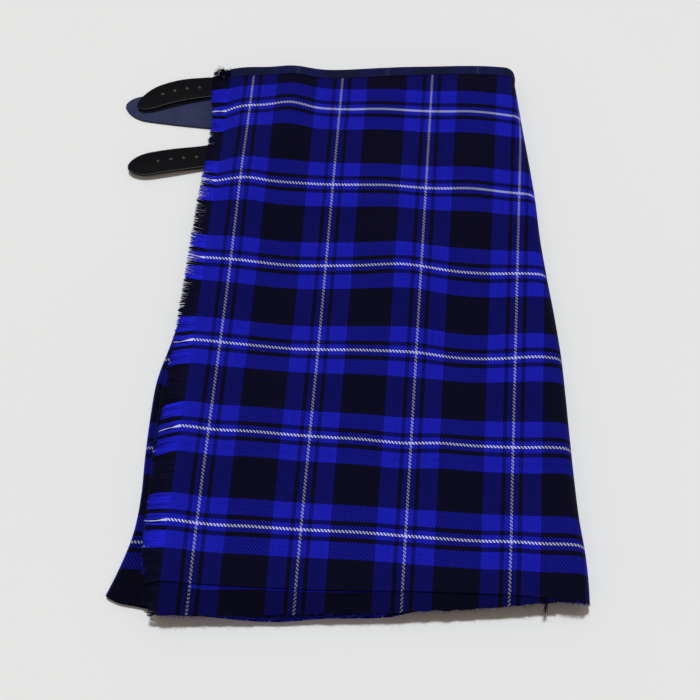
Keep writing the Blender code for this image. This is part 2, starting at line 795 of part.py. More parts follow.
def draw_lock(face, k, ring):
    """Moves a drawn-out end of a lock to its place and narrows it."""
    pitch = (FRINGE_FROM_Y - FRINGE_TO_Y) / LOCKS
    root_y = FRINGE_FROM_Y - pitch * (k + LOCK_SHARE / 2.0)
    root_z = apron_top(APRON_EDGE_X, root_y) - FRINGE_SUNK - FRINGE_STRIP / 2.0
    sway = wave_at(SWAY, k) - FRINGE_LEAN
    droop = fringe_droop(root_z) * ring.droop
    x = APRON_EDGE_X - SEAM_GAP - FRINGE_STRIP - fringe_length(k) * ring.reach
    centre = place(x, root_y + sway * ring.reach, root_z - droop)
    half_width = pitch * LOCK_SHARE / 2.0 * ring.width * MM
    half_height = FRINGE_STRIP / 2.0 * (1.0 + ring.width) / 2.0 * MM
    middle = face.calc_center_median()
    for vertex in face.verts:
        along = 1.0 if vertex.co.y > middle.y else -1.0
        up = 1.0 if vertex.co.z > middle.z else -1.0
        vertex.co = centre + Vector((0.0, along * half_width, up * half_height))


def fringe_droop(root_z):
    """How far a lock's end hangs below its root: little where a strap lies close beneath."""
    return FRINGE_SUNK + FRINGE_DROOP * smooth_step(FRINGE_DROOP_FROM_Z, FRINGE_DROOP_TO_Z, root_z)


def main():
    for leftover in list(bpy.data.objects):
        bpy.data.objects.remove(leftover, do_unlink=True)
    kilt = bpy.data.collections.new("scottish_kilt")
    cutters = bpy.data.collections.new("cutters")
    for collection in (kilt, cutters):
        bpy.context.scene.collection.children.link(collection)
    build_apron(kilt)
    build_hem_band(kilt)
    build_fringe(kilt)
    build_under_apron(kilt)
    build_side_pleat(kilt)
    build_pleats(kilt)
    build_front_band(kilt)
    build_under_band(kilt)
    build_back_band(kilt)
    for strap in STRAPS:
        build_strap(strap, kilt, cutters)


main()
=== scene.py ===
"""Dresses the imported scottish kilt: woven tartan, bindings, fringe, frays, straps, floor, light and camera.

The tables and functions of the cloth's form work in millimetres in the tartan's own frame: x = 0 and
y = 0 where the first white lines of the outer apron cross, z = 0 on the floor. place() turns them
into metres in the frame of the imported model.
"""

import math
import random
from collections import namedtuple

import bmesh
import bpy
from bpy.props import FloatProperty, FloatVectorProperty, PointerProperty
from mathutils import Matrix, Vector, noise


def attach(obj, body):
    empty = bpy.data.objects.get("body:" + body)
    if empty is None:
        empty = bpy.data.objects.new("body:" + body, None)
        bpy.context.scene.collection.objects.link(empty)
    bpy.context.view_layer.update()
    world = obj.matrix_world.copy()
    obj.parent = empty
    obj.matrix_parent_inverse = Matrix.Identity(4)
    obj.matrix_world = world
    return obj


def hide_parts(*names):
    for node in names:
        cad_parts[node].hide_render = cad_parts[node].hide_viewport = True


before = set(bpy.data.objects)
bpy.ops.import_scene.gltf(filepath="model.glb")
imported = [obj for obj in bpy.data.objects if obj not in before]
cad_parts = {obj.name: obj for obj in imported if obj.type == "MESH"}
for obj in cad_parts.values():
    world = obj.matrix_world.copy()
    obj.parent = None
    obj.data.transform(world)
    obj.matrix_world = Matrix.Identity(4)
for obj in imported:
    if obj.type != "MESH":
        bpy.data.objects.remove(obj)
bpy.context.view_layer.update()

bl_info = {
    "name": "Scottish kilt, laid flat",
    "version": (1, 0, 0),
    "blender": (4, 5, 0),
    "location": "3D View > Sidebar > Kilt",
    "description": "Builds the cloth, fringe, bindings and straps of a scottish kilt laid flat",
    "category": "Object",
}

BODY = "root"

# Frame
MM = 0.001
MIDDLE_X = 112.14
MIDDLE_Y = -252.32

# Cloth and leather
APRON_WALL = 1.5
LAYER_WALL = 1.2
PLEAT_WALL = 1.0
SEAM_GAP = 0.3

# Outer apron
APRON_MEAN_TOP = 22.5
APRON_LEAST_TOP = 14.9
APRON_EDGE_X = -26.0
HEM_SAG = 4.0
HEM_SAG_FROM = -490.0
HEM_SAG_TO = -560.0
ROLL_RADIUS = 11.0
ROLL_HEM_RISE = 6.0
ROLL_HEM_FADE = 8
WAIST_Y = 50.6
WAIST_RISE = 0.042
WAIST_DIP = 3.5
WAIST_DIP_X = 88.0
WAIST_DIP_HALF = 48.0
# Where along x the heights of the right roll, of the left folds and of the middle are taken
ROLL_AT_WAIST_X = 280.0
ROLL_AT_HEM_X = 350.0
FOLD_AT_WAIST_X = 0.0
FOLD_AT_HEM_X = -40.0
MIDDLE_AT_X = 120.0

# Layers beneath
UNDER_LEAST_TOP = 12.4
LAYER_GAP = 0.9
UNDER_LIFT = 0.6
UNDER_LIFT_AT_FOLD = 0.2
UNDER_LIFT_FROM_X = -45.0
UNDER_LIFT_TO_X = 5.0
UNDER_FOLD_RADIUS = 2.6
UNDER_FOLD_FLOOR = 8.6
UNDER_TUCK = 22.0
UNDER_SHORT_OF_ROLL = 15.0
SIDE_PLEAT_TOP = 8.0
SIDE_FOLD_RADIUS = 4.5
SIDE_UPPER_REACH = 34.0

# Pleats, between two straight lines that spread toward the hem
PLEATS = 18
PLEATS_LENGTH = 600.0
PLEATS_LEFT_AT_WAIST = 26.0
PLEATS_LEFT_AT_HEM = -36.0
PLEATS_RIGHT_AT_WAIST = 247.0
PLEATS_RIGHT_AT_HEM = 327.0
INNER_FOLD_REACH = 18.0
TUCK_GAP = 0.9
PLY_PITCH = 1.5
DEPTH_AT_HEM = 2.3
DEPTH_AT_WAIST = 1.7
PLEAT_TOP_LIFT = 1.6

# Waistband
BAND_DEPTH = 9.5
BAND_WALL = 1.2
BAND_GAP = 0.5
BAND_LEAST_Z = 2.4
BACK_BAND_DEPTH = 11.0
BACK_BAND_SHORT = 2.4

# Hem band
HEM_LAP = 8.0
HEM_BAND_TO_X = 331.0

# Fringe
FRINGE_FROM_Y = 49.0
FRINGE_TO_Y = -567.0

# Sett, and its threads of warp and of weft
SETT = 96.0
ENDS = 120
PICKS = 106

Reach = namedtuple("Reach", "y length")
# How far the fringe reaches to the left, down the apron's edge
REACHES = (
    Reach(y=56, length=19.0),
    Reach(y=20, length=18.2),
    Reach(y=0, length=14.2),
    Reach(y=-60, length=14.4),
    Reach(y=-150, length=16.4),
    Reach(y=-240, length=18.4),
    Reach(y=-320, length=19.8),
    Reach(y=-420, length=20.5),
    Reach(y=-505, length=20.0),
    Reach(y=-530, length=14.5),
    Reach(y=-548, length=9.5),
    Reach(y=-568, length=8.5),
)

Fold = namedtuple("Fold", "x y half_width half_length turn height")
# Soft ridges and hollows of the outer apron: middle, spread across and along, turn in degrees, height
FOLDS = (
    Fold(x=43, y=0, half_width=16, half_length=45, turn=0, height=10),
    Fold(x=150, y=0, half_width=30, half_length=66, turn=-6, height=5),
    Fold(x=238, y=16, half_width=34, half_length=60, turn=0, height=8),
    Fold(x=8, y=-96, half_width=15, half_length=48, turn=4, height=6),
    Fold(x=240, y=-100, half_width=22, half_length=40, turn=0, height=4),
    Fold(x=66, y=-235, half_width=38, half_length=74, turn=8, height=-8.5),
    Fold(x=174, y=-190, half_width=23, half_length=60, turn=12, height=7),
    Fold(x=242, y=-268, half_width=28, half_length=66, turn=-4, height=-7.5),
    Fold(x=312, y=-275, half_width=18, half_length=56, turn=8, height=4),
    Fold(x=-24, y=-440, half_width=16, half_length=86, turn=0, height=8),
    Fold(x=44, y=-415, half_width=25, half_length=56, turn=5, height=4),
    Fold(x=182, y=-384, half_width=20, half_length=42, turn=0, height=-4),
    Fold(x=222, y=-402, half_width=16, half_length=36, turn=0, height=3),
    Fold(x=152, y=-488, half_width=40, half_length=38, turn=0, height=4),
    Fold(x=336, y=-440, half_width=20, half_length=86, turn=8, height=6),
    Fold(x=292, y=-490, half_width=15, half_length=30, turn=0, height=4),
    Fold(x=-36, y=-20, half_width=14, half_length=50, turn=0, height=-16),
)

Side = namedtuple("Side", "y roll_x under_x side_x")
# Each level down the kilt: outermost x of the right roll, of the under apron's fold and of the side pleat
SIDES = (
    Side(y=64, roll_x=278.5, under_x=-2.0, side_x=-3.0),
    Side(y=52, roll_x=281.0, under_x=-2.0, side_x=-3.5),
    Side(y=0, roll_x=289.5, under_x=-2.5, side_x=-4.5),
    Side(y=-92, roll_x=305.0, under_x=-4.0, side_x=-7.0),
    Side(y=-145, roll_x=311.5, under_x=-19.0, side_x=-22.0),
    Side(y=-192, roll_x=319.0, under_x=-31.0, side_x=-34.0),
    Side(y=-237, roll_x=326.8, under_x=-39.0, side_x=-42.5),
    Side(y=-282, roll_x=333.6, under_x=-45.0, side_x=-50.5),
    Side(y=-325, roll_x=338.2, under_x=-51.0, side_x=-59.0),
    Side(y=-363, roll_x=341.8, under_x=-52.0, side_x=-60.5),
    Side(y=-408, roll_x=346.2, under_x=-52.0, side_x=-60.0),
    Side(y=-449, roll_x=351.0, under_x=-50.5, side_x=-58.3),
    Side(y=-487, roll_x=357.3, under_x=-50.0, side_x=-60.3),
    Side(y=-525, roll_x=361.0, under_x=-47.0, side_x=-68.6),
    Side(y=-565, roll_x=361.8, under_x=-40.0, side_x=-80.0),
)

Hem = namedtuple("Hem", "x crease band under")
# Each place across the hem: y of the apron's crease, of the hem band's raw edge and of the layers beneath
HEMS = (
    Hem(x=-80, crease=-537.0, band=-568.5, under=-546.5),
    Hem(x=-65, crease=-537.0, band=-568.5, under=-552.5),
    Hem(x=-50, crease=-536.9, band=-568.5, under=-554.5),
    Hem(x=-28, crease=-536.7, band=-568.3, under=-557.5),
    Hem(x=0, crease=-536.2, band=-565.8, under=-559.0),
    Hem(x=60, crease=-535.7, band=-561.4, under=-561.5),
    Hem(x=90, crease=-535.5, band=-558.8, under=-560.0),
    Hem(x=120, crease=-535.0, band=-556.0, under=-555.0),
    Hem(x=180, crease=-532.0, band=-551.4, under=-550.0),
    Hem(x=205, crease=-530.4, band=-548.4, under=-542.5),
    Hem(x=250, crease=-529.0, band=-543.4, under=-535.5),
    Hem(x=300, crease=-528.6, band=-536.4, under=-527.5),
    Hem(x=320, crease=-529.4, band=-533.8, under=-525.0),
    Hem(x=335, crease=-530.4, band=-532.4, under=-523.0),
    Hem(x=370, crease=-531.4, band=-531.8, under=-518.0),
)

Line = namedtuple("Line", "root_x root_y tip_x tip_y bow")
Lift = namedtuple("Lift", "root middle tip arch")
Holes = namedtuple("Holes", "count first")
Strap = namedtuple("Strap", "name line root_width width wall lift holes")
# Each strap's centre line with its sideways bow, width at its root and along it, thickness, heights of its
# underside with its arch across, and its holes: how many, and how far the first is from the tip
STRAPS = (
    Strap(
        name="strap_waist", line=Line(-13.0, 36.5, -123.3, 5.3, 8.6), root_width=27.0, width=27.0, wall=3.0,
        lift=Lift(4.6, 7.4, 5.4, 1.4), holes=Holes(4, 28.8),
    ),
    Strap(
        name="strap_hip", line=Line(-13.0, -50.5, -122.5, -76.5, 1.2), root_width=27.0, width=27.0, wall=3.0,
        lift=Lift(3.6, 6.2, 5.0, 1.4), holes=Holes(4, 32.5),
    ),
    Strap(
        name="strap_under", line=Line(-14.0, 3.0, -136.7, 7.0, -1.8), root_width=41.0, width=31.0, wall=2.6,
        lift=Lift(0.0, 0.0, 0.0, 0.0), holes=Holes(0, 0.0),
    ),
)
HOLE_PITCH = 13.5
HOLE_DIAMETER = 3.0
PUNCH_DEPTH = 18.0
TIP_LENGTH = 27.0
TIP_CURVE = 2.3
TIP_FULLNESS = 0.6
TIP_LEAST = 0.16
# Shares of a strap's length between which it rises off the table and comes down again
STRAP_RISES = (0.30, 0.62)
STRAP_FALLS = (0.70, 1.0)

Cut = namedtuple("Cut", "width length area held rests_on")
# Each cloth piece as it was cut: metres, square metres, how it is held and what it lies on
CUTS = {
    "apron": Cut(0.441, 0.596, 0.2365, "laid", ("under_apron",)),
    "hem_band": Cut(0.358, 0.037, 0.0098, "laid", ("under_apron",)),
    "under_apron": Cut(0.425, 0.612, 0.222, "laid", ("pleated_back", "side_pleat")),
    "side_pleat": Cut(0.085, 0.606, 0.0435, "folded", ()),
    "pleated_back": Cut(2.056, 0.609, 0.925, "folded", ()),
    "waistband_front": Cut(0.360, 0.026, 0.0085, "folded", ("apron_front",)),
    "waistband_under": Cut(0.290, 0.026, 0.0068, "folded", ("under_apron",)),
    "waistband_back": Cut(0.224, 0.028, 0.0059, "folded", ("pleated_back",)),
}


# Shapes shared by the pieces


def place(x, y, z):
    """A point of the working frame in metres, round the middle of the kilt's outline."""
    return Vector(((x - MIDDLE_X) * MM, (y - MIDDLE_Y) * MM, z * MM))


def blend(a, b, share):
    return a + (b - a) * share


def smooth_step(low, high, value):
    share = min(max((value - low) / (high - low), 0.0), 1.0)
    return share * share * (3.0 - 2.0 * share)


def read(table, key, field, value):
    """A smooth curve through one column of a table, read at a place in its key column."""
    rows = sorted(table, key=lambda row: getattr(row, key))
    keys = [getattr(row, key) for row in rows]
    column = [getattr(row, field) for row in rows]
    if value <= keys[0]:
        return column[0]
    if value >= keys[-1]:
        return column[-1]
    i = max(k for k in range(len(keys) - 1) if keys[k] <= value)

    def slope(k):
        before = max(k - 1, 0)
        after = min(k + 1, len(keys) - 1)
        return (column[after] - column[before]) / (keys[after] - keys[before])

    span = keys[i + 1] - keys[i]
    t = (value - keys[i]) / span
    start = (2 * t**3 - 3 * t**2 + 1) * column[i] + (t**3 - 2 * t**2 + t) * span * slope(i)
    end = (3 * t**2 - 2 * t**3) * column[i + 1] + (t**3 - t**2) * span * slope(i + 1)
    return start + end


def side(field, y):
    return read(SIDES, "y", field, y)


def hem(field, x):
    return read(HEMS, "x", field, x)


def waist_y(x):
    """The waist's top edge, rising a little to the right, with a shallow dip."""
    dip = WAIST_DIP * math.exp(-(((x - WAIST_DIP_X) / WAIST_DIP_HALF) ** 2) / 2.0)
    return WAIST_Y + WAIST_RISE * x - dip


# Square of the widths past which a soft fold adds nothing
FOLD_ENDS = 16.0


def fold_height(x, y):
    """Sum of soft ridges and hollows at one place."""
    height = 0.0
    for fold in FOLDS:
        turn = math.radians(fold.turn)
        across = (x - fold.x) * math.cos(turn) + (y - fold.y) * math.sin(turn)
        along = (y - fold.y) * math.cos(turn) - (x - fold.x) * math.sin(turn)
        spread = (across / fold.half_width) ** 2 + (along / fold.half_length) ** 2
        if spread < FOLD_ENDS:
            height += fold.height * math.exp(-spread / 2.0)
    return height


def apron_top(x, y):
    """Height of the outer apron's upper surface, with its soft folds."""
    height = APRON_MEAN_TOP - HEM_SAG * smooth_step(HEM_SAG_FROM, HEM_SAG_TO, y)
    height += fold_height(x, y)
    if x < 0.0:
        return height
    return max(height, APRON_LEAST_TOP)


RIPPLE_SEED = 0.37


def ripple(x, y, size, height):
    """Small uneven waves of slack cloth."""
    return height * noise.noise(Vector((x / size, y / size, RIPPLE_SEED)))


def under_top(x, y):
    """Height of the under apron's upper surface, which follows the outer apron's folds a little."""
    room = apron_top(x, y) - APRON_WALL - UNDER_LEAST_TOP - LAYER_GAP
    lift = blend(UNDER_LIFT_AT_FOLD, UNDER_LIFT, smooth_step(UNDER_LIFT_FROM_X, UNDER_LIFT_TO_X, x))
    return UNDER_LEAST_TOP + lift * max(room, 0.0)


def pleats_left_x(down):
    """The first pleat's edge, at a distance down from the waist."""
    return blend(PLEATS_LEFT_AT_WAIST, PLEATS_LEFT_AT_HEM, down / PLEATS_LENGTH)


def pleats_right_x(down):
    """The last pleat's end, at a distance down from the waist."""
    return blend(PLEATS_RIGHT_AT_WAIST, PLEATS_RIGHT_AT_HEM, down / PLEATS_LENGTH)


Point = namedtuple("Point", "x y z u v")
# u and v are the point's place on the flat cloth, in millimetres of the tartan


def between(a, b, share):
    """The point at a share of the way from one point to another."""
    return Point(*(blend(start, end, share) for start, end in zip(a, b)))


def with_arc(points, start_u, rows_lower=0.0):
    """Gives a section's points their place along the flat cloth, by the length of the section."""
    u = start_u
    out = []
    for k, (x, y, z) in enumerate(points):
        if k:
            u += math.dist((x, y, z), points[k - 1])
        out.append(Point(x, y, z, u, y + rows_lower))
    return out


APRON_COLUMNS = 158
ROLL_STEPS = 16
TUCK_STEPS = 6
APRON_ROWS = 240
APRON_RIPPLE = 0.5
RIPPLE_SIZE = 26.0


def apron_section(share, columns=APRON_COLUMNS):
    """The outer apron's upper surface at one level: fringed edge, roll, tuck beneath."""
    right_y = blend(hem("crease", ROLL_AT_HEM_X), waist_y(ROLL_AT_WAIST_X), share)
    middle_x = side("roll_x", right_y) - ROLL_RADIUS
    points = []
    for i in range(columns + 1):
        x = blend(APRON_EDGE_X, middle_x, i / columns)
        y = blend(hem("crease", x), waist_y(x), share)
        z = apron_top(x, y) + ripple(x, y, RIPPLE_SIZE, APRON_RIPPLE)
        points.append(Point(x, y, z, x, y))
    last = points[-1]
    rise = ROLL_HEM_RISE * (1.0 - share) ** ROLL_HEM_FADE
    bend = []
    for i in range(ROLL_STEPS + 1):
        angle = math.pi / 2.0 - math.pi * i / ROLL_STEPS
        x = middle_x + ROLL_RADIUS * math.cos(angle)
        height = (1.0 + math.sin(angle)) / 2.0
        bend.append((x, last.y + rise * (1.0 - height), last.z * height))
    last_y = last.y + rise
    end_x = pleats_right_x(waist_y(middle_x) - last_y) + TUCK_GAP
    for i in range(1, TUCK_STEPS + 1):
        bend.append((blend(middle_x, end_x, i / TUCK_STEPS), last_y, 0.0))
    return points + with_arc(bend, last.u)[1:]


FOLD_STEPS = 10
TUCK_COLUMNS = 10
APRON_HEIGHT = waist_y(MIDDLE_AT_X) - hem("crease", MIDDLE_AT_X)
UNDER_HEIGHT = waist_y(MIDDLE_AT_X) - hem("under", MIDDLE_AT_X)

Layer = namedtuple("Layer", "field radius floor top_of top_y_of tuck_to reach_to columns fold_u rows_lower")
# A layer folded at its left: its column of the table of sides, its fold, the height and top edge of its
# upper ply, where its plies end, its columns, the tartan's place across it where the fold turns up, and how
# far the tartan's rows on it lie below the outer apron's
UNDER_APRON = Layer(
    field="under_x", radius=UNDER_FOLD_RADIUS, floor=UNDER_FOLD_FLOOR, top_of=under_top,
    top_y_of=lambda x: waist_y(x) - BAND_WALL - SEAM_GAP,
    tuck_to=lambda y, middle_x: middle_x + UNDER_TUCK,
    reach_to=lambda y, middle_x: side("roll_x", y) - UNDER_SHORT_OF_ROLL,
    columns=90, fold_u=33.0, rows_lower=21.5,
)
SIDE_PLEAT = Layer(
    field="side_x", radius=SIDE_FOLD_RADIUS, floor=0.0, top_of=lambda x, y: SIDE_PLEAT_TOP,
    top_y_of=lambda x: waist_y(x) - BAND_DEPTH,
    tuck_to=lambda y, middle_x: pleats_left_x(waist_y(middle_x) - y) - TUCK_GAP,
    reach_to=lambda y, middle_x: middle_x + SIDE_UPPER_REACH,
    columns=20, fold_u=29.0, rows_lower=15.5,
)


def folded_section(layer, share):
    """A layer folded at its left: tuck beneath, round the fold, then the upper ply."""
    fold_y = blend(hem("under", FOLD_AT_HEM_X), layer.top_y_of(FOLD_AT_WAIST_X), share)
    middle_x = side(layer.field, fold_y) + layer.radius
    top = layer.top_of(middle_x, fold_y)
    tuck_x = layer.tuck_to(fold_y, middle_x)
    places = [(blend(tuck_x, middle_x, i / TUCK_COLUMNS), layer.floor) for i in range(TUCK_COLUMNS)]
    for i in range(FOLD_STEPS + 1):
        angle = -math.pi / 2.0 - math.pi * i / FOLD_STEPS
        x = middle_x + layer.radius * math.cos(angle)
        places.append((x, blend(layer.floor, top, (1.0 + math.sin(angle)) / 2.0)))
    right_x = layer.reach_to(fold_y, middle_x)
    for i in range(1, layer.columns + 1):
        x = blend(middle_x, right_x, i / layer.columns)
        y = blend(hem("under", x), layer.top_y_of(x), share)
        places.append((x, layer.top_of(x, y)))
    spots = [(x, blend(hem("under", x), layer.top_y_of(x), share), z) for x, z in places]
    before_fold = sum(math.dist(spots[k], spots[k + 1]) for k in range(TUCK_COLUMNS + FOLD_STEPS))
    return with_arc(spots, layer.fold_u - before_fold, layer.rows_lower)


ROWS_OVER_BAND = 4


def shares_with_band(rows, height):
    """Even levels from the hem to the waistband's lower edge, and a few more up to the cloth's top."""
    band_edge = 1.0 - BAND_DEPTH / height
    levels = [band_edge * j / rows for j in range(rows + 1)]
    return levels + [blend(band_edge, 1.0, j / ROWS_OVER_BAND) for j in range(1, ROWS_OVER_BAND + 1)]


# Rows of the sett that give a loose thread its colour
BLACK_ROW = 0.45
BLUE_ROW = 0.2
PALE_ROW = 0.0


# Building


def deselect():
    bpy.ops.object.select_all(action="DESELECT")


def tartan_map(mesh, uvs):
    """Writes a piece's own map, in setts, one place for each vertex."""
    layer = mesh.uv_layers.active or mesh.uv_layers.new()
    layer.name = "Setts"
    for loop in mesh.loops:
        layer.data[loop.index].uv = uvs[loop.vertex_index]


def sheet(name, sections):
    """A plane grid laid through the sections, listed from the hem to the waist."""
    columns = len(sections[0]) - 1
    rows = len(sections) - 1
    deselect()
    bpy.ops.mesh.primitive_grid_add(x_subdivisions=columns, y_subdivisions=rows, size=2.0)
    piece = bpy.context.object
    piece.name = name
    piece.data.name = name
    uvs = []
    for vertex in piece.data.vertices:
        i = round((vertex.co.x + 1.0) / 2.0 * columns)
        j = round((vertex.co.y + 1.0) / 2.0 * rows)
        point = sections[j][i]
        vertex.co = place(point.x, point.y, point.z)
        uvs.append((point.u / SETT, point.v / SETT))
    tartan_map(piece.data, uvs)
    return piece


def apply_modifier(piece, modifier):
    bpy.context.view_layer.objects.active = piece
    bpy.ops.object.modifier_apply(modifier=modifier.name)


def add_wall(piece, wall):
    """Gives a sheet its thickness inward."""
    modifier = piece.modifiers.new("Wall", "SOLIDIFY")
    modifier.thickness = wall * MM
    modifier.offset = -1.0
    modifier.use_even_offset = True
    apply_modifier(piece, modifier)


def smooth_faces(piece, degrees):
    """Smooths the edges that bend less than an angle."""
    deselect()
    piece.select_set(True)
    bpy.ops.object.shade_smooth_by_angle(angle=math.radians(degrees))


# Angle in degrees from which an edge of cloth stays sharp
CLOTH_CREASE = 50.0


def cloth_of(name, sections, wall):
    """A cloth with its thickness, laid through the sections."""
    piece = sheet(name, sections)
    add_wall(piece, wall)
    smooth_faces(piece, CLOTH_CREASE)
    return piece


def dress(piece, material, node, slot):
    """Hands a finished piece its material and its body, and hides the solid that it stands for. The slot is
    not used.
    """
    piece.data.materials.clear()
    piece.data.materials.append(material)
    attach(piece, BODY)
    if node:
        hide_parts(node)


def declare(piece, cut):
    """Looks up what the cloth measured before it was folded and laid, and does nothing with it."""
    facts = CUTS[cut]
    list(facts.rests_on)


# A thread's thickness at its tip, and the sine of the lean below which it counts as upright
THREAD_TIP = 0.45
STANDS_UPRIGHT = 0.1


def strand(steps, at):
    """A thread's points, at even shares from its root to its tip."""
    return [at(i / steps) for i in range(steps + 1)]


def thread_mesh(name, threads, sides=4):
    """Many thin tubes in one mesh. Each thread is its points, its radius in mm and its place in the sett."""
    bm = bmesh.new()
    layer = bm.loops.layers.uv.new("Setts")
    for points, radius, colour_v in threads:
        spots = [place(*point) for point in points]
        rings = []
        along = 0.0
        for k, spot in enumerate(spots):
            before = spots[max(k - 1, 0)]
            after = spots[min(k + 1, len(spots) - 1)]
            ahead = (after - before).normalized()
            across = ahead.cross(Vector((0.0, 0.0, 1.0)))
            if across.length < STANDS_UPRIGHT:
                across = Vector((1.0, 0.0, 0.0))
            across.normalize()
            over = across.cross(ahead)
            if k:
                along += (spot - spots[k - 1]).length
            taper = THREAD_TIP if k == len(spots) - 1 else 1.0
            ring = []
            for s in range(sides):
                angle = 2.0 * math.pi * (s + 0.5) / sides
                offset = across * math.cos(angle) + over * math.sin(angle)
                ring.append(bm.verts.new(spot + offset * radius * taper * MM))
            rings.append((ring, along / (SETT * MM)))
        for (low, low_u), (high, high_u) in zip(rings, rings[1:]):
            for s in range(sides):
                after = (s + 1) % sides
                face = bm.faces.new((low[s], low[after], high[after], high[s]))
                for loop, u in zip(face.loops, (low_u, low_u, high_u, high_u)):
                    loop[layer].uv = (u, colour_v)
        for ring, flip in ((rings[0][0], True), (rings[-1][0], False)):
            cap = bm.faces.new(list(reversed(ring)) if flip else ring)
            for loop in cap.loops:
                loop[layer].uv = (0.0, colour_v)
    mesh = bpy.data.meshes.new(name)
    bm.to_mesh(mesh)
    bm.free()
    for polygon in mesh.polygons:
        polygon.use_smooth = True
    piece = bpy.data.objects.new(name, mesh)
    bpy.context.scene.collection.objects.link(piece)
    return piece


# Materials


def join(tree, value, socket):
    """Feeds a socket from another node, or sets it to a plain value."""
    if isinstance(value, bpy.types.NodeSocket):
        tree.links.new(value, socket)
    else:
        socket.default_value = value


def calc(tree, operation, *values, clamp=False):
    node = tree.nodes.new("ShaderNodeMath")
    node.operation = operation
    node.use_clamp = clamp
    for socket, value in zip(node.inputs, values):
        join(tree, value, socket)
    return node.outputs[0]


def multiply(tree, first, *others):
    """The product of several sockets and numbers."""
    total = first
    for value in others:
        total = calc(tree, "MULTIPLY", total, value)
    return total


def scale_colour(tree, colour, amount):
    """A colour made brighter or darker."""
    node = tree.nodes.new("ShaderNodeVectorMath")
    node.operation = "SCALE"
    join(tree, colour, node.inputs[0])
    join(tree, amount, node.inputs["Scale"])
    return node.outputs[0]


def mix_colour(tree, share, a, b):
    node = tree.nodes.new("ShaderNodeMix")
    node.data_type = "RGBA"
    join(tree, share, node.inputs["Factor"])
    join(tree, a, node.inputs[6])
    join(tree, b, node.inputs[7])
    return node.outputs[2]


def noise_of(tree, vector, scale, detail=2.0, roughness=0.5):
    node = tree.nodes.new("ShaderNodeTexNoise")
    tree.links.new(vector, node.inputs["Vector"])
    node.inputs["Scale"].default_value = scale
    node.inputs["Detail"].default_value = detail
    node.inputs["Roughness"].default_value = roughness
    return node.outputs["Fac"]


def random_of(tree, value):
    node = tree.nodes.new("ShaderNodeTexWhiteNoise")
    node.noise_dimensions = "1D"
    join(tree, value, node.inputs["W"])
    return node.outputs["Value"]


SHEEN_ROUGHNESS = 0.5
WOOL_SPECULAR = 0.05
LEATHER_SPECULAR = 0.03


def new_material(name, roughness, specular, sheen=0.0):
    """A fresh material and its shader, with the values that stay the same all over."""
    material = bpy.data.materials.new(name)
    material.use_nodes = True
    tree = material.node_tree
    shader = tree.nodes["Principled BSDF"]
    shader.inputs["Roughness"].default_value = roughness
    shader.inputs["Specular IOR Level"].default_value = specular
    shader.inputs["Sheen Weight"].default_value = sheen
    shader.inputs["Sheen Roughness"].default_value = SHEEN_ROUGHNESS
    return material, tree, shader


def add_bump(tree, shader, height, distance, strength):
    """Relief in millimetres."""
    node = tree.nodes.new("ShaderNodeBump")
    node.inputs["Strength"].default_value = strength
    node.inputs["Distance"].default_value = distance * MM
    tree.links.new(height, node.inputs["Height"])
    tree.links.new(node.outputs["Normal"], shader.inputs["Normal"])


Stripe = namedtuple("Stripe", "start yarn")
# The sett from a white line's middle to the middle of the wide black, as shares of a whole sett
STRIPES = (
    Stripe(start=0.0, yarn="white"),
    Stripe(start=0.0133, yarn="blue"),
    Stripe(start=0.057, yarn="black"),
    Stripe(start=0.107, yarn="blue"),
    Stripe(start=0.275, yarn="black"),
)
DARKNESS = {"white": 0.0, "blue": 0.0, "black": 1.0}
# The warp's part in the hairs over a crossing, and the redness from which a yarn counts as white
VEIL_OF_WARP = 0.35
WHITE_FROM = 0.1


def yarn_of(tree, thread, threads, white):
    """The colour of one thread by its number among the sett's threads, and how dark it is."""
    cloth = bpy.context.scene.kilt_cloth
    colours = {"white": white, "blue": cloth.blue, "black": cloth.black}
    centre = calc(tree, "DIVIDE", thread, float(threads))
    turned = calc(tree, "FRACT", calc(tree, "ADD", centre, 0.5))
    doubled = calc(tree, "MULTIPLY", calc(tree, "ABSOLUTE", calc(tree, "SUBTRACT", turned, 0.5)), 2.0)
    node = tree.nodes.new("ShaderNodeValToRGB")
    ramp = node.color_ramp
    ramp.interpolation = "CONSTANT"
    while len(ramp.elements) < len(STRIPES):
        ramp.elements.new(0.5)
    for element, stripe in zip(ramp.elements, STRIPES):
        element.position = stripe.start * 2.0
        element.color = (*colours[stripe.yarn][:3], DARKNESS[stripe.yarn])
    tree.links.new(doubled, node.inputs["Fac"])
    return node.outputs["Color"], node.outputs["Alpha"]


def setts_of(tree, wobble=0.0):
    """The cloth's own map as two numbers, in setts, with a slight unevenness of the weave."""
    node = tree.nodes.new("ShaderNodeUVMap")
    node.uv_map = "Setts"
    split = tree.nodes.new("ShaderNodeSeparateXYZ")
    tree.links.new(node.outputs["UV"], split.inputs[0])
    u, v = split.outputs[0], split.outputs[1]
    if wobble:
        drift_u = calc(tree, "SUBTRACT", noise_of(tree, node.outputs["UV"], scale=3.0), 0.5)
        drift_v = calc(tree, "SUBTRACT", noise_of(tree, node.outputs["UV"], scale=5.0), 0.5)
        u = calc(tree, "MULTIPLY_ADD", drift_u, wobble, u)
        v = calc(tree, "MULTIPLY_ADD", drift_v, wobble, v)
    return u, v, node.outputs["UV"]


Vary = namedtuple("Vary", "spread least")
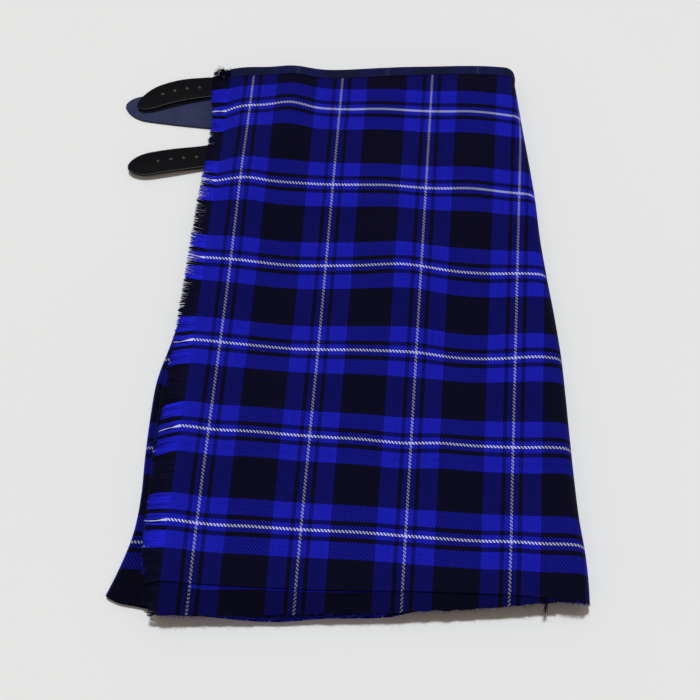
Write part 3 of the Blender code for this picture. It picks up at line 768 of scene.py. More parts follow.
# How a pattern that runs from 0 to 1 changes brightness or height: its spread, and the least of it
FLOAT_ARCH = Vary(0.45, 0.55)
THREAD_SHADE = Vary(0.45, 0.70)
UNEVEN_DYE = Vary(0.14, 0.86)
WEAR = Vary(0.22, 0.89)
FUZZ = Vary(0.30, 0.85)
YARN_DYE = Vary(0.5, 0.72)
YARN_FUZZ = Vary(0.5, 0.75)
LEATHER_TONE = Vary(0.6, 0.7)
PEBBLE_SHADE = Vary(0.25, 0.78)
SUEDE_PATCHES = Vary(0.7, 0.62)
SUEDE_NAP = Vary(0.6, 0.7)
FRINGE_SHADOW = Vary(0.6, 0.4)
FLOOR_TONE = Vary(0.02, 0.99)


def vary(tree, pattern, amounts):
    return calc(tree, "MULTIPLY_ADD", pattern, amounts.spread, amounts.least)


# Steps after which the twill repeats, and the step below which the warp is up
TWILL_STEPS = 4.0
WARP_UP_BELOW = 1.5
QUARTER_TURN = math.pi / 2.0
WEAVE_WOBBLE = 0.004
WEFT_SEED = 0.31
HAIR_RELIEF = 0.35


def twill(name, brightness=1.0, pale=1.0, worn_share=0.0):
    """Wool woven two over two under, each thread with its colour from the sett, or partly rubbed grey."""
    cloth = bpy.context.scene.kilt_cloth
    material, tree, shader = new_material(name, cloth.roughness, WOOL_SPECULAR, cloth.sheen)
    u, v, both = setts_of(tree, wobble=WEAVE_WOBBLE)
    across = multiply(tree, u, float(ENDS))
    along = multiply(tree, v, float(PICKS))
    warp = calc(tree, "FLOOR", across)
    weft = calc(tree, "FLOOR", along)
    warp_share = calc(tree, "FRACT", across)
    weft_share = calc(tree, "FRACT", along)
    step = calc(tree, "FLOORED_MODULO", calc(tree, "ADD", warp, weft), TWILL_STEPS)
    warp_up = calc(tree, "LESS_THAN", step, WARP_UP_BELOW)
    warp_white = [channel * cloth.warp_white * pale for channel in cloth.white]
    warp_colour, warp_dark = yarn_of(tree, warp, ENDS, warp_white)
    weft_colour, weft_dark = yarn_of(tree, weft, PICKS, cloth.white)
    on_top = mix_colour(tree, warp_up, weft_colour, warp_colour)
    # The hairs of both yarns veil a crossing, but for the smooth white
    average = mix_colour(tree, VEIL_OF_WARP, weft_colour, warp_colour)
    channels = tree.nodes.new("ShaderNodeSeparateColor")
    tree.links.new(average, channels.inputs[0])
    no_white = calc(tree, "LESS_THAN", channels.outputs["Red"], WHITE_FROM)
    colour = mix_colour(tree, multiply(tree, no_white, cloth.hairs), on_top, average)
    # Rounded floats: each thread is a ridge across, and dips where it goes under
    ridge_warp = calc(tree, "SINE", multiply(tree, warp_share, math.pi))
    ridge_weft = calc(tree, "SINE", multiply(tree, weft_share, math.pi))
    along_warp = calc(tree, "ADD", step, weft_share)
    along_weft = calc(tree, "SUBTRACT", calc(tree, "ADD", step, warp_share), TWILL_STEPS / 2.0)
    arch_warp = vary(tree, calc(tree, "SINE", multiply(tree, along_warp, QUARTER_TURN)), FLOAT_ARCH)
    arch_weft = vary(tree, calc(tree, "SINE", multiply(tree, along_weft, QUARTER_TURN)), FLOAT_ARCH)
    height_mix = tree.nodes.new("ShaderNodeMix")
    tree.links.new(warp_up, height_mix.inputs[0])
    tree.links.new(multiply(tree, ridge_weft, arch_weft), height_mix.inputs[2])
    tree.links.new(multiply(tree, ridge_warp, arch_warp), height_mix.inputs[3])
    height = height_mix.outputs[0]
    # Painted shade where blue and black cross and in the dips between threads, darker warp floats, uneven
    # dye, thread by thread, and soft patches of wear
    crossing = calc(tree, "ABSOLUTE", calc(tree, "SUBTRACT", warp_dark, weft_dark))
    crossing_shade = calc(tree, "SUBTRACT", 1.0, multiply(tree, crossing, cloth.crossing_shade))
    warp_dimmer = calc(tree, "SUBTRACT", 1.0, multiply(tree, warp_up, 1.0 - cloth.warp_share))
    dye = calc(tree, "ADD", random_of(tree, warp), random_of(tree, calc(tree, "ADD", weft, WEFT_SEED)))
    wear = noise_of(tree, both, scale=2.2, detail=3.0)
    fuzz = noise_of(tree, both, scale=420.0, detail=1.0)
    total = multiply(
        tree, crossing_shade, warp_dimmer, vary(tree, height, THREAD_SHADE), vary(tree, dye, UNEVEN_DYE),
        vary(tree, wear, WEAR), vary(tree, fuzz, FUZZ), brightness,
    )
    rubbed = mix_colour(tree, worn_share, scale_colour(tree, colour, total), cloth.worn[:])
    tree.links.new(rubbed, shader.inputs["Base Color"])
    hair = noise_of(tree, both, scale=700.0, detail=1.0)
    relief = calc(tree, "ADD", height, multiply(tree, hair, HAIR_RELIEF))
    add_bump(tree, shader, relief, distance=cloth.thread_relief / MM, strength=0.7)
    return material


PLY_TWIST = 1.4


def yarn(name):
    """Loose wool threads: colour from the sett by the thread's own row, and the twist of two plies."""
    cloth = bpy.context.scene.kilt_cloth
    material, tree, shader = new_material(name, cloth.roughness, WOOL_SPECULAR, cloth.sheen)
    u, v, both = setts_of(tree)
    row = calc(tree, "FLOOR", multiply(tree, v, float(PICKS)))
    colour = yarn_of(tree, row, PICKS, cloth.white)[0]
    dye = vary(tree, random_of(tree, row), YARN_DYE)
    fuzz = vary(tree, noise_of(tree, both, scale=300.0), YARN_FUZZ)
    tree.links.new(scale_colour(tree, colour, multiply(tree, dye, fuzz)), shader.inputs["Base Color"])
    twist = calc(tree, "SINE", multiply(tree, u, SETT * 2.0 * math.pi / PLY_TWIST))
    add_bump(tree, shader, twist, distance=0.08, strength=0.6)
    return material


def object_place(tree):
    node = tree.nodes.new("ShaderNodeTexCoord")
    return node.outputs["Object"]


# A strap's map is 0 along its middle and 1 at its sides. Where on it the pale edge, partly wear and partly a
# painted highlight, begins and ends, how quickly it sets in, how much of it shows, and the value past which
# it is a hole's wall
EDGE_FROM = 0.92
EDGE_TO = 0.992
EDGE_STEEPNESS = 16.0
EDGE_WEAR_AND_HIGHLIGHT = 0.5
HOLE_FROM = 1.2
PEBBLE_STEEPNESS = 3.0
ROUGHNESS_SPREAD = 0.25
ROUGHNESS_LESS = 0.12


def leather(name):
    """Black strap leather: fine pebbled grain, a soft polish, and paler edges, partly worn and partly a
    painted highlight.
    """
    straps = bpy.context.scene.kilt_straps
    material, tree, shader = new_material(name, straps.roughness, LEATHER_SPECULAR)
    spot = object_place(tree)
    grain = tree.nodes.new("ShaderNodeTexVoronoi")
    grain.feature = "DISTANCE_TO_EDGE"
    tree.links.new(spot, grain.inputs["Vector"])
    grain.inputs["Scale"].default_value = 1100.0
    pebble = calc(tree, "MINIMUM", multiply(tree, grain.outputs["Distance"], PEBBLE_STEEPNESS), 1.0)
    soft = noise_of(tree, spot, scale=60.0, detail=4.0)
    from_middle = setts_of(tree)[1]
    # Pale edge on the top bevel: partly worn leather, partly a painted highlight
    past_edge = calc(tree, "SUBTRACT", from_middle, EDGE_FROM)
    worn = calc(tree, "MULTIPLY", past_edge, EDGE_STEEPNESS, clamp=True)
    worn = multiply(tree, worn, calc(tree, "LESS_THAN", from_middle, EDGE_TO), EDGE_WEAR_AND_HIGHLIGHT)
    base = mix_colour(tree, worn, straps.leather[:], straps.edge_wear_and_highlight[:])
    # Hole walls: raw leather, drawn pale as a painted highlight in the holes
    base = mix_colour(tree, calc(tree, "GREATER_THAN", from_middle, HOLE_FROM), base, straps.hole_wall_and_highlight[:])
    # Painted shade in the grooves of the pebbled grain, over a soft random tone
    tone = multiply(tree, vary(tree, soft, LEATHER_TONE), vary(tree, pebble, PEBBLE_SHADE))
    tree.links.new(scale_colour(tree, base, tone), shader.inputs["Base Color"])
    rough = calc(tree, "MULTIPLY_ADD", soft, ROUGHNESS_SPREAD, straps.roughness - ROUGHNESS_LESS)
    tree.links.new(rough, shader.inputs["Roughness"])
    add_bump(tree, shader, pebble, distance=0.12, strength=0.5)
    return material


SUEDE_ROUGHNESS = 0.95
SUEDE_SHEEN = 0.08
# The painted shadow of the fringe over the root ends at a third of the strap's length
FRINGE_SHADOW_STEEPNESS = 3.0


def suede(name):
    """Navy suede: brushed nap in soft patches, and a painted shadow of the fringe darkening it near the root.
    """
    straps = bpy.context.scene.kilt_straps
    material, tree, shader = new_material(name, SUEDE_ROUGHNESS, WOOL_SPECULAR, SUEDE_SHEEN)
    spot = object_place(tree)
    patches = noise_of(tree, spot, scale=90.0, detail=4.0, roughness=0.6)
    nap = noise_of(tree, spot, scale=2200.0)
    # Painted shadow of the fringe: the suede is drawn darker from its root to a third of its length
    fringe_shadow = calc(tree, "MULTIPLY", setts_of(tree)[0], FRINGE_SHADOW_STEEPNESS, clamp=True)
    tone = multiply(
        tree, vary(tree, patches, SUEDE_PATCHES), vary(tree, nap, SUEDE_NAP), vary(tree, fringe_shadow, FRINGE_SHADOW)
    )
    tree.links.new(scale_colour(tree, straps.suede[:3], tone), shader.inputs["Base Color"])
    add_bump(tree, shader, nap, distance=0.15, strength=0.7)
    return material


# Settings


def colour_field(name, description, *default):
    """A colour that a user can change."""
    return FloatVectorProperty(
        name=name, description=description, subtype="COLOR",
        size=len(default), min=0.0, max=1.0, default=default,
    )


def share_field(name, description, default):
    """A share from 0 to 1 that a user can change."""
    return FloatProperty(
        name=name, description=description, subtype="FACTOR", min=0.0, max=1.0, default=default,
    )


class KiltCloth(bpy.types.PropertyGroup):
    """Sizes and colours of the woven cloth."""

    blue: colour_field("Blue", "Colour of the blue yarn", 0.0118, 0.0150, 0.54, 1.0)
    black: colour_field("Black", "Colour of the black yarn", 0.0034, 0.0030, 0.0180, 1.0)
    white: colour_field("White", "Colour of the white yarn", 0.61, 0.64, 1.0, 1.0)
    worn: colour_field("Rubbed wool", "Colour that the rubbed binding tends to", 0.0119, 0.0142, 0.0189, 1.0)
    warp_white: share_field("White of the warp", "How bright the white warp is beside the white weft", 1.0)
    warp_share: share_field("Warp share", "How bright the warp's floats are beside the weft's", 0.5)
    hairs: share_field("Hairs", "How far the hairs of both yarns veil where they cross", 0.45)
    crossing_shade: share_field("Crossing shade", "How much darker it looks where blue and black cross", 0.29)
    thread_relief: FloatProperty(
        name="Thread relief", description="Height of the threads in the weave", unit="LENGTH",
        min=0.0, max=0.001, default=0.00022, precision=5,
    )
    roughness: share_field("Roughness", "How dull the wool is", 0.9)
    sheen: share_field("Sheen", "Soft glow of the wool's fine hairs", 0.01)


class KiltFringe(bpy.types.PropertyGroup):
    """Sizes of the fringe and frays."""

    radius: FloatProperty(
        name="Thread radius", description="Half the thickness of one loose thread", unit="LENGTH",
        min=0.0001, max=0.001, default=0.00033, precision=5,
    )


class KiltStraps(bpy.types.PropertyGroup):
    """Colours and finish of the straps."""

    leather: colour_field("Leather", "Colour of the strap leather", 0.0042, 0.0041, 0.0062, 1.0)
    # Pale edges: partly worn leather, partly a painted highlight
    edge_wear_and_highlight: colour_field("Leather edge", "Colour of the worn edges", 0.17, 0.165, 0.18, 1.0)
    # Raw leather in the holes, drawn pale as a painted highlight
    hole_wall_and_highlight: colour_field("Hole walls", "Colour of the raw leather in the holes", 0.62, 0.60, 0.59, 1.0)
    suede: colour_field("Suede", "Colour of the suede strap", 0.030, 0.037, 0.090, 1.0)
    roughness: share_field("Roughness", "How dull the leather is", 0.55)


class KiltStage(bpy.types.PropertyGroup):
    """Floor, light and camera."""

    floor: colour_field("Floor", "Colour of the floor", 0.797, 0.806, 0.82, 1.0)
    sun: FloatProperty(
        name="Key light", description="Strength of the key light", min=0.0, max=10.0, default=2.40,
    )
    sun_size: FloatProperty(
        name="Key light size", description="Width of the key light, which softens its shadows",
        subtype="ANGLE", min=0.0, max=math.pi, default=math.radians(7.0),
    )
    sky: FloatProperty(
        name="Fill light", description="Strength of the light from all round",
        min=0.0, max=10.0, default=0.315,
    )
    sky_colour: colour_field("Fill colour", "Colour of the light from all round", 1.0, 0.82, 0.70)
    sun_colour: colour_field("Key colour", "Colour of the key light", 0.92, 0.98, 1.0)
    lens: FloatProperty(
        name="Lens", description="Focal length of the camera in millimetres",
        min=20.0, max=200.0, default=80.58,
    )
    distance: FloatProperty(
        name="Camera distance", description="How far the camera stands from the kilt", unit="LENGTH",
        min=0.5, max=5.0, default=1.5258,
    )
    azimuth: FloatProperty(
        name="Camera azimuth", description="How far round the camera stands", subtype="ANGLE",
        default=math.radians(5.762),
    )
    elevation: FloatProperty(
        name="Camera elevation", description="How high the camera stands", subtype="ANGLE",
        default=math.radians(61.406),
    )
    roll: FloatProperty(
        name="Camera roll", description="How far the camera leans", subtype="ANGLE",
        default=math.radians(-1.898),
    )


# Operators


class KILT_OT_outer_apron(bpy.types.Operator):
    """Lays the outer apron over the kilt's front, rolled at its right side, with its fringe at the left"""

    bl_idname = "kilt.outer_apron"
    bl_label = "Outer apron and fringe"

    def execute(self, context):
        sections = [apron_section(share) for share in shares_with_band(APRON_ROWS, APRON_HEIGHT)]
        apron = cloth_of("apron_cloth", sections, APRON_WALL)
        dress(apron, twill("tartan_wool"), "apron_front", "tartan_cloth")
        fringe = build_fringe(context.scene.kilt_fringe)
        dress(fringe, yarn("fringe_yarn"), "apron_fringe", "fringe_threads")
        declare(apron, "apron")
        return {"FINISHED"}


Lean = namedtuple("Lean", "y up")
# How far the fringe's tips lie above or below their roots, down the edge
LEANS = (
    Lean(y=56, up=3.0),
    Lean(y=36, up=1.0),
    Lean(y=0, up=-1.5),
    Lean(y=-50, up=1.0),
    Lean(y=-93, up=6.0),
    Lean(y=-190, up=5.0),
    Lean(y=-250, up=2.0),
    Lean(y=-290, up=-1.0),
    Lean(y=-386, up=-4.5),
    Lean(y=-440, up=-2.5),
    Lean(y=-495, up=0.5),
    Lean(y=-570, up=-1.0),
)
FRINGE_RINGS = 9
FRINGE_ROOT = 1.4
FRINGE_SUNK = 0.7
PAST_REACH = 1.2
THREADS_PER_PICK = 2
# Half the white line's width in setts, how far its threads are drawn together, and how stout they are
WHITE_HALF = 0.021
WHITE_PULL = 0.75
WHITE_STOUT = 1.25
# Where along a thread its bunch is drawn together
PULL_SHARES = (0.05, 0.5)
# Size and strength of the bunches, and how unevenly long the threads are
CLUMP_SIZE = 4.2
CLUMP_SEED = 3.1
CLUMP_REACH = 0.10
CLUMP_RISE = 0.5
UNEVEN_REACH = (-0.06, 0.02)
OWN_DRIFT = 0.45
OWN_RISE = 0.6
LEAN_POWER = 1.4
DROOP_POWER = 1.6
Wave = namedtuple("Wave", "height size along seed")
# Sideways waves of the threads: long ones that neighbours share, and short ones
FRINGE_WAVES = (
    Wave(height=2.4, size=9.0, along=0.9, seed=7.0),
    Wave(height=1.1, size=2.6, along=2.2, seed=2.0),
)


def build_fringe(settings):
    """Loose weft threads beside the woven edge, side by side, drawn together here and there."""
    chance = random.Random(7)
    pitch = SETT / PICKS / THREADS_PER_PICK
    count = int((FRINGE_FROM_Y - FRINGE_TO_Y) / pitch)
    threads = []
    for k in range(count):
        y = FRINGE_FROM_Y - pitch * (k + 0.5)
        threads.append(fringe_thread(y, chance, settings.radius / MM))
    return thread_mesh("apron_fringe_threads", threads)


def fringe_thread(y, chance, radius):
    """One thread from inside the woven edge to its tip, with its place in the sett."""
    on_band = y < hem("crease", APRON_EDGE_X)
    row = BLACK_ROW if on_band else y / SETT
    from_white = row - round(row)
    white = abs(from_white) < WHITE_HALF
    root_z = apron_top(APRON_EDGE_X, y) - (APRON_WALL + SEAM_GAP if on_band else 0.0) - FRINGE_SUNK
    droop = fringe_droop(root_z)
    clump = noise.noise(Vector((y / CLUMP_SIZE, CLUMP_SEED, 0.0)))
    reach = read(REACHES, "y", "length", y) * (1.0 + CLUMP_REACH * clump + chance.uniform(*UNEVEN_REACH))
    lean = read(LEANS, "y", "up", y)
    pull = -from_white * SETT * WHITE_PULL if white else 0.0
    own = chance.uniform(-OWN_DRIFT, OWN_DRIFT)

    def at(share):
        x = APRON_EDGE_X + FRINGE_ROOT - (reach + FRINGE_ROOT + PAST_REACH) * share
        wave = 0.0
        for kind in FRINGE_WAVES:
            spot = Vector((y / kind.size, kind.along * share, kind.seed))
            wave += kind.height * share * noise.noise(spot)
        gathered = pull * smooth_step(*PULL_SHARES, share)
        z = root_z - droop * share**DROOP_POWER + CLUMP_RISE * share * clump + own * OWN_RISE * share
        return x, y + lean * share**LEAN_POWER + wave + own * share + gathered, z

    return strand(FRINGE_RINGS, at), radius * (WHITE_STOUT if white else 1.0), row


# How far a lock's end hangs: the most of it, the least, and the heights of the root between which it grows
DROOP_MOST = 5.0
DROOP_LEAST = 0.2
DROOP_FROM = 9.5
DROOP_TO = 16.0


def fringe_droop(root_z):
    """How far a lock's end hangs below its root: little where a strap lies close beneath."""
    return DROOP_MOST * smooth_step(DROOP_FROM, DROOP_TO, root_z) + DROOP_LEAST


HEM_COLUMNS = 150
HEM_ROWS = 12
Rough = namedtuple("Rough", "size height row")
# Unevenness of the hem's raw edge: long waves, and short ones read from another row of the noise
RAW_EDGE = (Rough(size=7.0, height=1.1, row=0.0), Rough(size=2.5, height=0.5, row=40.0))
HEM_RIPPLE_SIZE = 12.0
HEM_RIPPLE = 0.25
# How far above the band's sewn line its blue rows stop showing, along x
BlueLine = namedtuple("BlueLine", "x blue")
BLUE_LINE = (
    BlueLine(x=-26, blue=-2.0),
    BlueLine(x=-2, blue=-1.5),
    BlueLine(x=0, blue=3.2),
    BlueLine(x=40, blue=2.4),
    BlueLine(x=60, blue=1.0),
    BlueLine(x=140, blue=0.6),
    BlueLine(x=220, blue=-1.0),
    BlueLine(x=340, blue=-3.0),
)


class KILT_OT_hem_band(bpy.types.Operator):
    """Laps the hem band beneath the apron's crease, down to its raw edge"""

    bl_idname = "kilt.hem_band"
    bl_label = "Hem band"

    def execute(self, context):
        drop = APRON_WALL + SEAM_GAP
        edge = STRIPES[-1].start * SETT
        sections = []
        for j in range(HEM_ROWS + 1):
            section = []
            for i in range(HEM_COLUMNS + 1):
                x = blend(APRON_EDGE_X, HEM_BAND_TO_X, i / HEM_COLUMNS)
                raw = hem("band", x)
                for rough in RAW_EDGE:
                    raw += ripple(x, rough.row, rough.size, rough.height)
                y = blend(raw, hem("crease", x) + HEM_LAP, j / HEM_ROWS)
                z = apron_top(x, y) - drop + ripple(x, y, HEM_RIPPLE_SIZE, HEM_RIPPLE)
                v = edge + hem("crease", x) - read(BLUE_LINE, "x", "blue", x) - y
                section.append(Point(x, y, z, x, v))
            sections.append(section)
        band = cloth_of("hem_band_cloth", sections, LAYER_WALL)
        # The hem band's wool is drawn darker all over, as painted shade on a band that faces away from the
        # light
        dress(band, twill("hem_wool", 0.62), "apron_hem_band", "hem_cloth")
        declare(band, "hem_band")
        return {"FINISHED"}


LAYER_ROWS = 140


class KILT_OT_layers(bpy.types.Operator):
    """Lays the under apron and the side pleat beneath the outer apron"""

    bl_idname = "kilt.layers"
    bl_label = "Under apron and side pleat"

    def execute(self, context):
        material = twill("layer_wool", brightness=0.6)
        even_levels = [j / LAYER_ROWS for j in range(LAYER_ROWS + 1)]
        for node, layer, levels in (
            ("under_apron", UNDER_APRON, shares_with_band(LAYER_ROWS, UNDER_HEIGHT)),
            ("side_pleat", SIDE_PLEAT, even_levels),
        ):
            piece = cloth_of(node + "_cloth", [folded_section(layer, share) for share in levels], LAYER_WALL)
            dress(piece, material, node, "tartan_cloth")
            declare(piece, node)
        return {"FINISHED"}


def pleat_line(down, lift):
    """Centre line of the pleated cloth at one level: each pleat's face, riser, deep fold and return."""
    left = pleats_left_x(down)
    right = pleats_right_x(down)
    reveal = (right - left) / PLEATS
    depth_share = blend(DEPTH_AT_WAIST, DEPTH_AT_HEM, down / PLEATS_LENGTH)
    floor = PLEAT_WALL / 2.0 + lift
    slant = 2.0 * PLY_PITCH / reveal
    inner_limit = right + INNER_FOLD_REACH
    line = [(left, floor)]
    for k in range(1, PLEATS):
        edge = left + k * reveal
        depth = min(depth_share * reveal, inner_limit - edge)
        rise = depth * slant
        line.append((edge - PLY_PITCH, floor))
        line.append((edge - PLY_PITCH, floor + 2.0 * PLY_PITCH))
        line.append((edge + depth, floor + 2.0 * PLY_PITCH + rise))
        line.append((edge + depth, floor + PLY_PITCH + rise))
        line.append((edge, floor + PLY_PITCH))
        line.append((edge, floor))
    line.append((right, floor))
    return line


def side_normal(a, b):
    direction = Vector((b[0] - a[0], b[1] - a[1])).normalized()
    return Vector((-direction.y, direction.x))


def offset_line(line, distance):
    """A line moved sideways by a distance, with mitred corners."""
    moved = []
    for i, (x, z) in enumerate(line):
        normals = []
        if i > 0:
            normals.append(side_normal(line[i - 1], line[i]))
        if i < len(line) - 1:
            normals.append(side_normal(line[i], line[i + 1]))
        total = Vector((0.0, 0.0))
        for normal in normals:
            total += normal
        total.normalize()
        reach = distance / total.dot(normals[0])
        moved.append((x + total.x * reach, z + total.y * reach))
    return moved


Level = namedtuple("Level", "down lift")
# Levels of the pleats measured down from the waist, and how far the band lifts them off the floor
PLEAT_LEVELS = (
    Level(down=300.0, lift=0.0),
    Level(down=17.0, lift=0.0),
    Level(down=13.0, lift=PLEAT_TOP_LIFT),
    Level(down=4.2, lift=PLEAT_TOP_LIFT),
)
POINTS_PER_PLEAT = 6
POINTS_BEFORE_FACE = 2
# Rows of the mesh between the hem and the first level, and from each level to the next
PLEAT_ROWS = (20, 20, 2, 2)


def pleat_us(line):
    """Each point's place on the flat cloth, with every pleat's face on the same part of the sett."""
    spread = []
    for k in range(PLEATS):
        face = k * POINTS_PER_PLEAT
        first = max(face - POINTS_BEFORE_FACE, 0)
        last = min(face + POINTS_PER_PLEAT - POINTS_BEFORE_FACE, len(line))
        face_end = line[min(face + 1, len(line) - 1)]
        middle = line[face][0] / 2.0 + face_end[0] / 2.0
        us = {face: line[face][0] - middle}
        for i in range(face - 1, first - 1, -1):
            us[i] = us[i + 1] - math.dist(line[i], line[i + 1])
        for i in range(face + 1, last):
            us[i] = us[i - 1] + math.dist(line[i - 1], line[i])
        spread += [k * SETT + us[i] for i in range(first, last)]
    return spread


def pleat_row(down, lift):
    line = offset_line(pleat_line(down, lift), PLEAT_WALL / 2.0)
    us = pleat_us(line)
    return [Point(x, waist_y(x) - down, z, u, waist_y(x) - down) for (x, z), u in zip(line, us)]


def pleat_hem_row():
    """The pleats' raw edge: each point slides along its own straight fold to the hem's line."""
    upper = pleat_row(PLEAT_LEVELS[0].down, 0.0)
    lower = pleat_row(PLEATS_LENGTH, 0.0)
    row = []
    for start, end in zip(upper, lower):
        share = (start.y - hem("under", end.x)) / (start.y - end.y)
        row.append(between(start, end, share))
    return row


class KILT_OT_pleated_back(bpy.types.Operator):
    """Folds the pleated back that the kilt lies on, every pleat face on the same part of the sett"""

    bl_idname = "kilt.pleated_back"
    bl_label = "Pleated back"

    def execute(self, context):
        stations = [pleat_hem_row()] + [pleat_row(level.down, level.lift) for level in PLEAT_LEVELS]
        rows = [stations[0]]
        for low, high, count in zip(stations, stations[1:], PLEAT_ROWS):
            for j in range(1, count + 1):
                rows.append([between(a, b, j / count) for a, b in zip(low, high)])
        back = cloth_of("pleated_back_cloth", rows, PLEAT_WALL)
        dress(back, twill("pleat_wool"), "pleated_back", "tartan_cloth")
        declare(back, "pleated_back")
        return {"FINISHED"}


# The binding's own place in the sett
BINDING_U = -0.5 * SETT
BINDING_V = 0.14 * SETT
BINDING_WALL = 0.6
BINDING_AT_CLOTH = 0.7
# Shares of the band's depth at which the binding's rows lie, on the cloth's face and inside it
FACE_SHARES = (0.0, 0.08, 0.2, 0.4, 0.65, 0.85)
INSIDE_SHARES = (0.85, 0.6, 0.3, 0.0)
# Share of the depth at which the binding stands at its full distance from the cloth
FULL_OUT_SHARE = 0.5
# Steps and height of its turn over the cloth's top edge
TURN_STEPS = 8
TURN_RISE = 0.8
# The column along which the binding's own width is measured
MEASURED_COLUMN = 4
FRONT_BINDING_COLUMNS = 120
FOLD_CLEARANCE = 1.0


def section_normals(section):
    last = len(section) - 1
    normals = []
    for i in range(len(section)):
        before = section[max(i - 1, 0)]
        after = section[min(i + 1, last)]
        normals.append(side_normal((before.x, before.z), (after.x, after.z)))
    return normals


def binding(name, section_of, height, wall, keep):
    """A folded strip round the top edge of a cloth, up its face, over and down its inside."""
    low = 1.0 - BAND_DEPTH / height
    outside = BAND_GAP + BAND_WALL
    inside = -(wall + BAND_GAP + BAND_WALL)
    middle = (outside + inside) / 2.0
    half = (outside - inside) / 2.0
    path = []
    for share in FACE_SHARES:
        out = blend(BINDING_AT_CLOTH, outside, smooth_step(0.0, FULL_OUT_SHARE, share))
        path.append((share, out, share * outside))
    for step in range(TURN_STEPS + 1):
        angle = math.pi * step / TURN_STEPS
        path.append((1.0, middle + half * math.cos(angle), outside - TURN_RISE + TURN_RISE * math.sin(angle)))
    for share in INSIDE_SHARES:
        path.append((share, inside, share * outside))
    rows = []
    travelled = 0.0
    previous = None
    for share, out, lift in path:
        section = section_of(blend(low, 1.0, share))
        row = []
        for point, normal in zip(section, section_normals(section)):
            if keep(point):
                row.append((point.x + normal.x * out, point.y + lift, point.z + normal.y * out, point.u))
        if previous:
            travelled += math.dist(row[MEASURED_COLUMN][:3], previous[MEASURED_COLUMN][:3])
        previous = row
        rows.append([Point(x, y, z, u + BINDING_U, BINDING_V + travelled) for x, y, z, u in row])
    return cloth_of(name, rows, BINDING_WALL)


class KILT_OT_bindings(bpy.types.Operator):
    """Binds the top edges of the outer apron, the under apron and the pleats"""

    bl_idname = "kilt.bindings"
    bl_label = "Waist bindings"

    def execute(self, context):
        material = twill("binding_wool", brightness=0.36, pale=0.8, worn_share=0.6)
        fold_x = side("under_x", WAIST_Y) + UNDER_FOLD_RADIUS + FOLD_CLEARANCE
        front = binding(
            "waistband_front_binding",
            lambda share: apron_section(share, columns=FRONT_BINDING_COLUMNS),
            APRON_HEIGHT, APRON_WALL,
            lambda point: point.z > BAND_LEAST_Z,
        )
        under = binding(
            "waistband_under_binding",
            lambda share: folded_section(UNDER_APRON, share),
            UNDER_HEIGHT, LAYER_WALL,
            lambda point: point.x > fold_x and point.z > UNDER_LEAST_TOP,
        )
        back = back_binding()
        for piece, node in ((front, "waistband_front"), (under, "waistband_under"), (back, "waistband_back")):
            dress(piece, material, node, "waistband_cloth")
            declare(piece, node)
        return {"FINISHED"}


# The back band: how far down its rows lie on each leg, and the depth, steps and columns of its turn
BACK_LEGS = (BACK_BAND_DEPTH, 8.0, 5.0)
BACK_ROUND = 1.2
BACK_TURN_STEPS = 6
BACK_COLUMNS = 60


def back_binding():
    """A channel that holds the pleats' top ends, its lower leg on the floor."""
    rise = DEPTH_AT_WAIST * 2.0
    stack = PLEAT_TOP_LIFT + PLEAT_WALL + PLY_PITCH * (2.0 + rise)
    upper = stack + SEAM_GAP + BAND_WALL
    left = pleats_left_x(0.0)
    right = pleats_right_x(0.0)
    path = [(down, upper) for down in BACK_LEGS]
    for step in range(BACK_TURN_STEPS + 1):
        angle = math.pi * step / BACK_TURN_STEPS
        down = BACK_BAND_SHORT + BACK_ROUND * (1.0 - math.sin(angle))
        path.append((down, upper / 2.0 * (1.0 + math.cos(angle))))
    path += [(down, 0.0) for down in reversed(BACK_LEGS)]
    rows = []
    travelled = 0.0
    for k, (down, z) in enumerate(path):
        if k:
            travelled += math.dist(path[k], path[k - 1])
        row = []
        for i in range(BACK_COLUMNS + 1):
            x = blend(left, right, i / BACK_COLUMNS)
            row.append(Point(x, waist_y(x) - down, z, x + BINDING_U, BINDING_V + travelled))
        rows.append(row)
    return cloth_of("waistband_back_binding", rows, BAND_WALL)


def strap_length(strap):
    return math.hypot(strap.line.tip_x - strap.line.root_x, strap.line.tip_y - strap.line.root_y)


def strap_point(strap, along, across):
    """A point of a strap's underside: along runs from root 0 to tip 1, across from -1 to 1."""
    root = Vector((strap.line.root_x, strap.line.root_y))
    axis = Vector((strap.line.tip_x, strap.line.tip_y)) - root
    length = axis.length
    forward = axis.normalized()
    left = Vector((-forward.y, forward.x))
    bow = 4.0 * strap.line.bow * along * (1.0 - along)
    slope = 4.0 * strap.line.bow * (1.0 - 2.0 * along) / length
    turned = (left - forward * slope).normalized()
    from_tip = (1.0 - along) * length
    taper = 1.0
    if from_tip < TIP_LENGTH:
        taper = max((1.0 - (1.0 - from_tip / TIP_LENGTH) ** TIP_CURVE) ** TIP_FULLNESS, TIP_LEAST)
    centre = root + forward * (along * length) - left * bow
    spot = centre + turned * (across * taper * blend(strap.root_width, strap.width, along) / 2.0)
    rise = smooth_step(*STRAP_RISES, along)
    fall = smooth_step(*STRAP_FALLS, along)
    z = blend(blend(strap.lift.root, strap.lift.middle, rise), strap.lift.tip, fall)
    z -= strap.lift.arch * rise * (across * taper) ** 2
    return spot.x, spot.y, z


STRAP_STOPS = 44
STRAP_TIP_STOPS = 22
STRAP_LINES = 20
STRAP_BEVEL = 0.55
BEVEL_STEPS = 3
# Angles in degrees from which a strap's edge is bevelled, and from which it stays sharp
BEVEL_FROM = 50.0
STRAP_CREASE = 40.0
HOLE_SIDES = 16
# The straps' maps are one sett from root to tip and one from the middle to an edge, and this in the holes
HOLE_MARK = 1.5


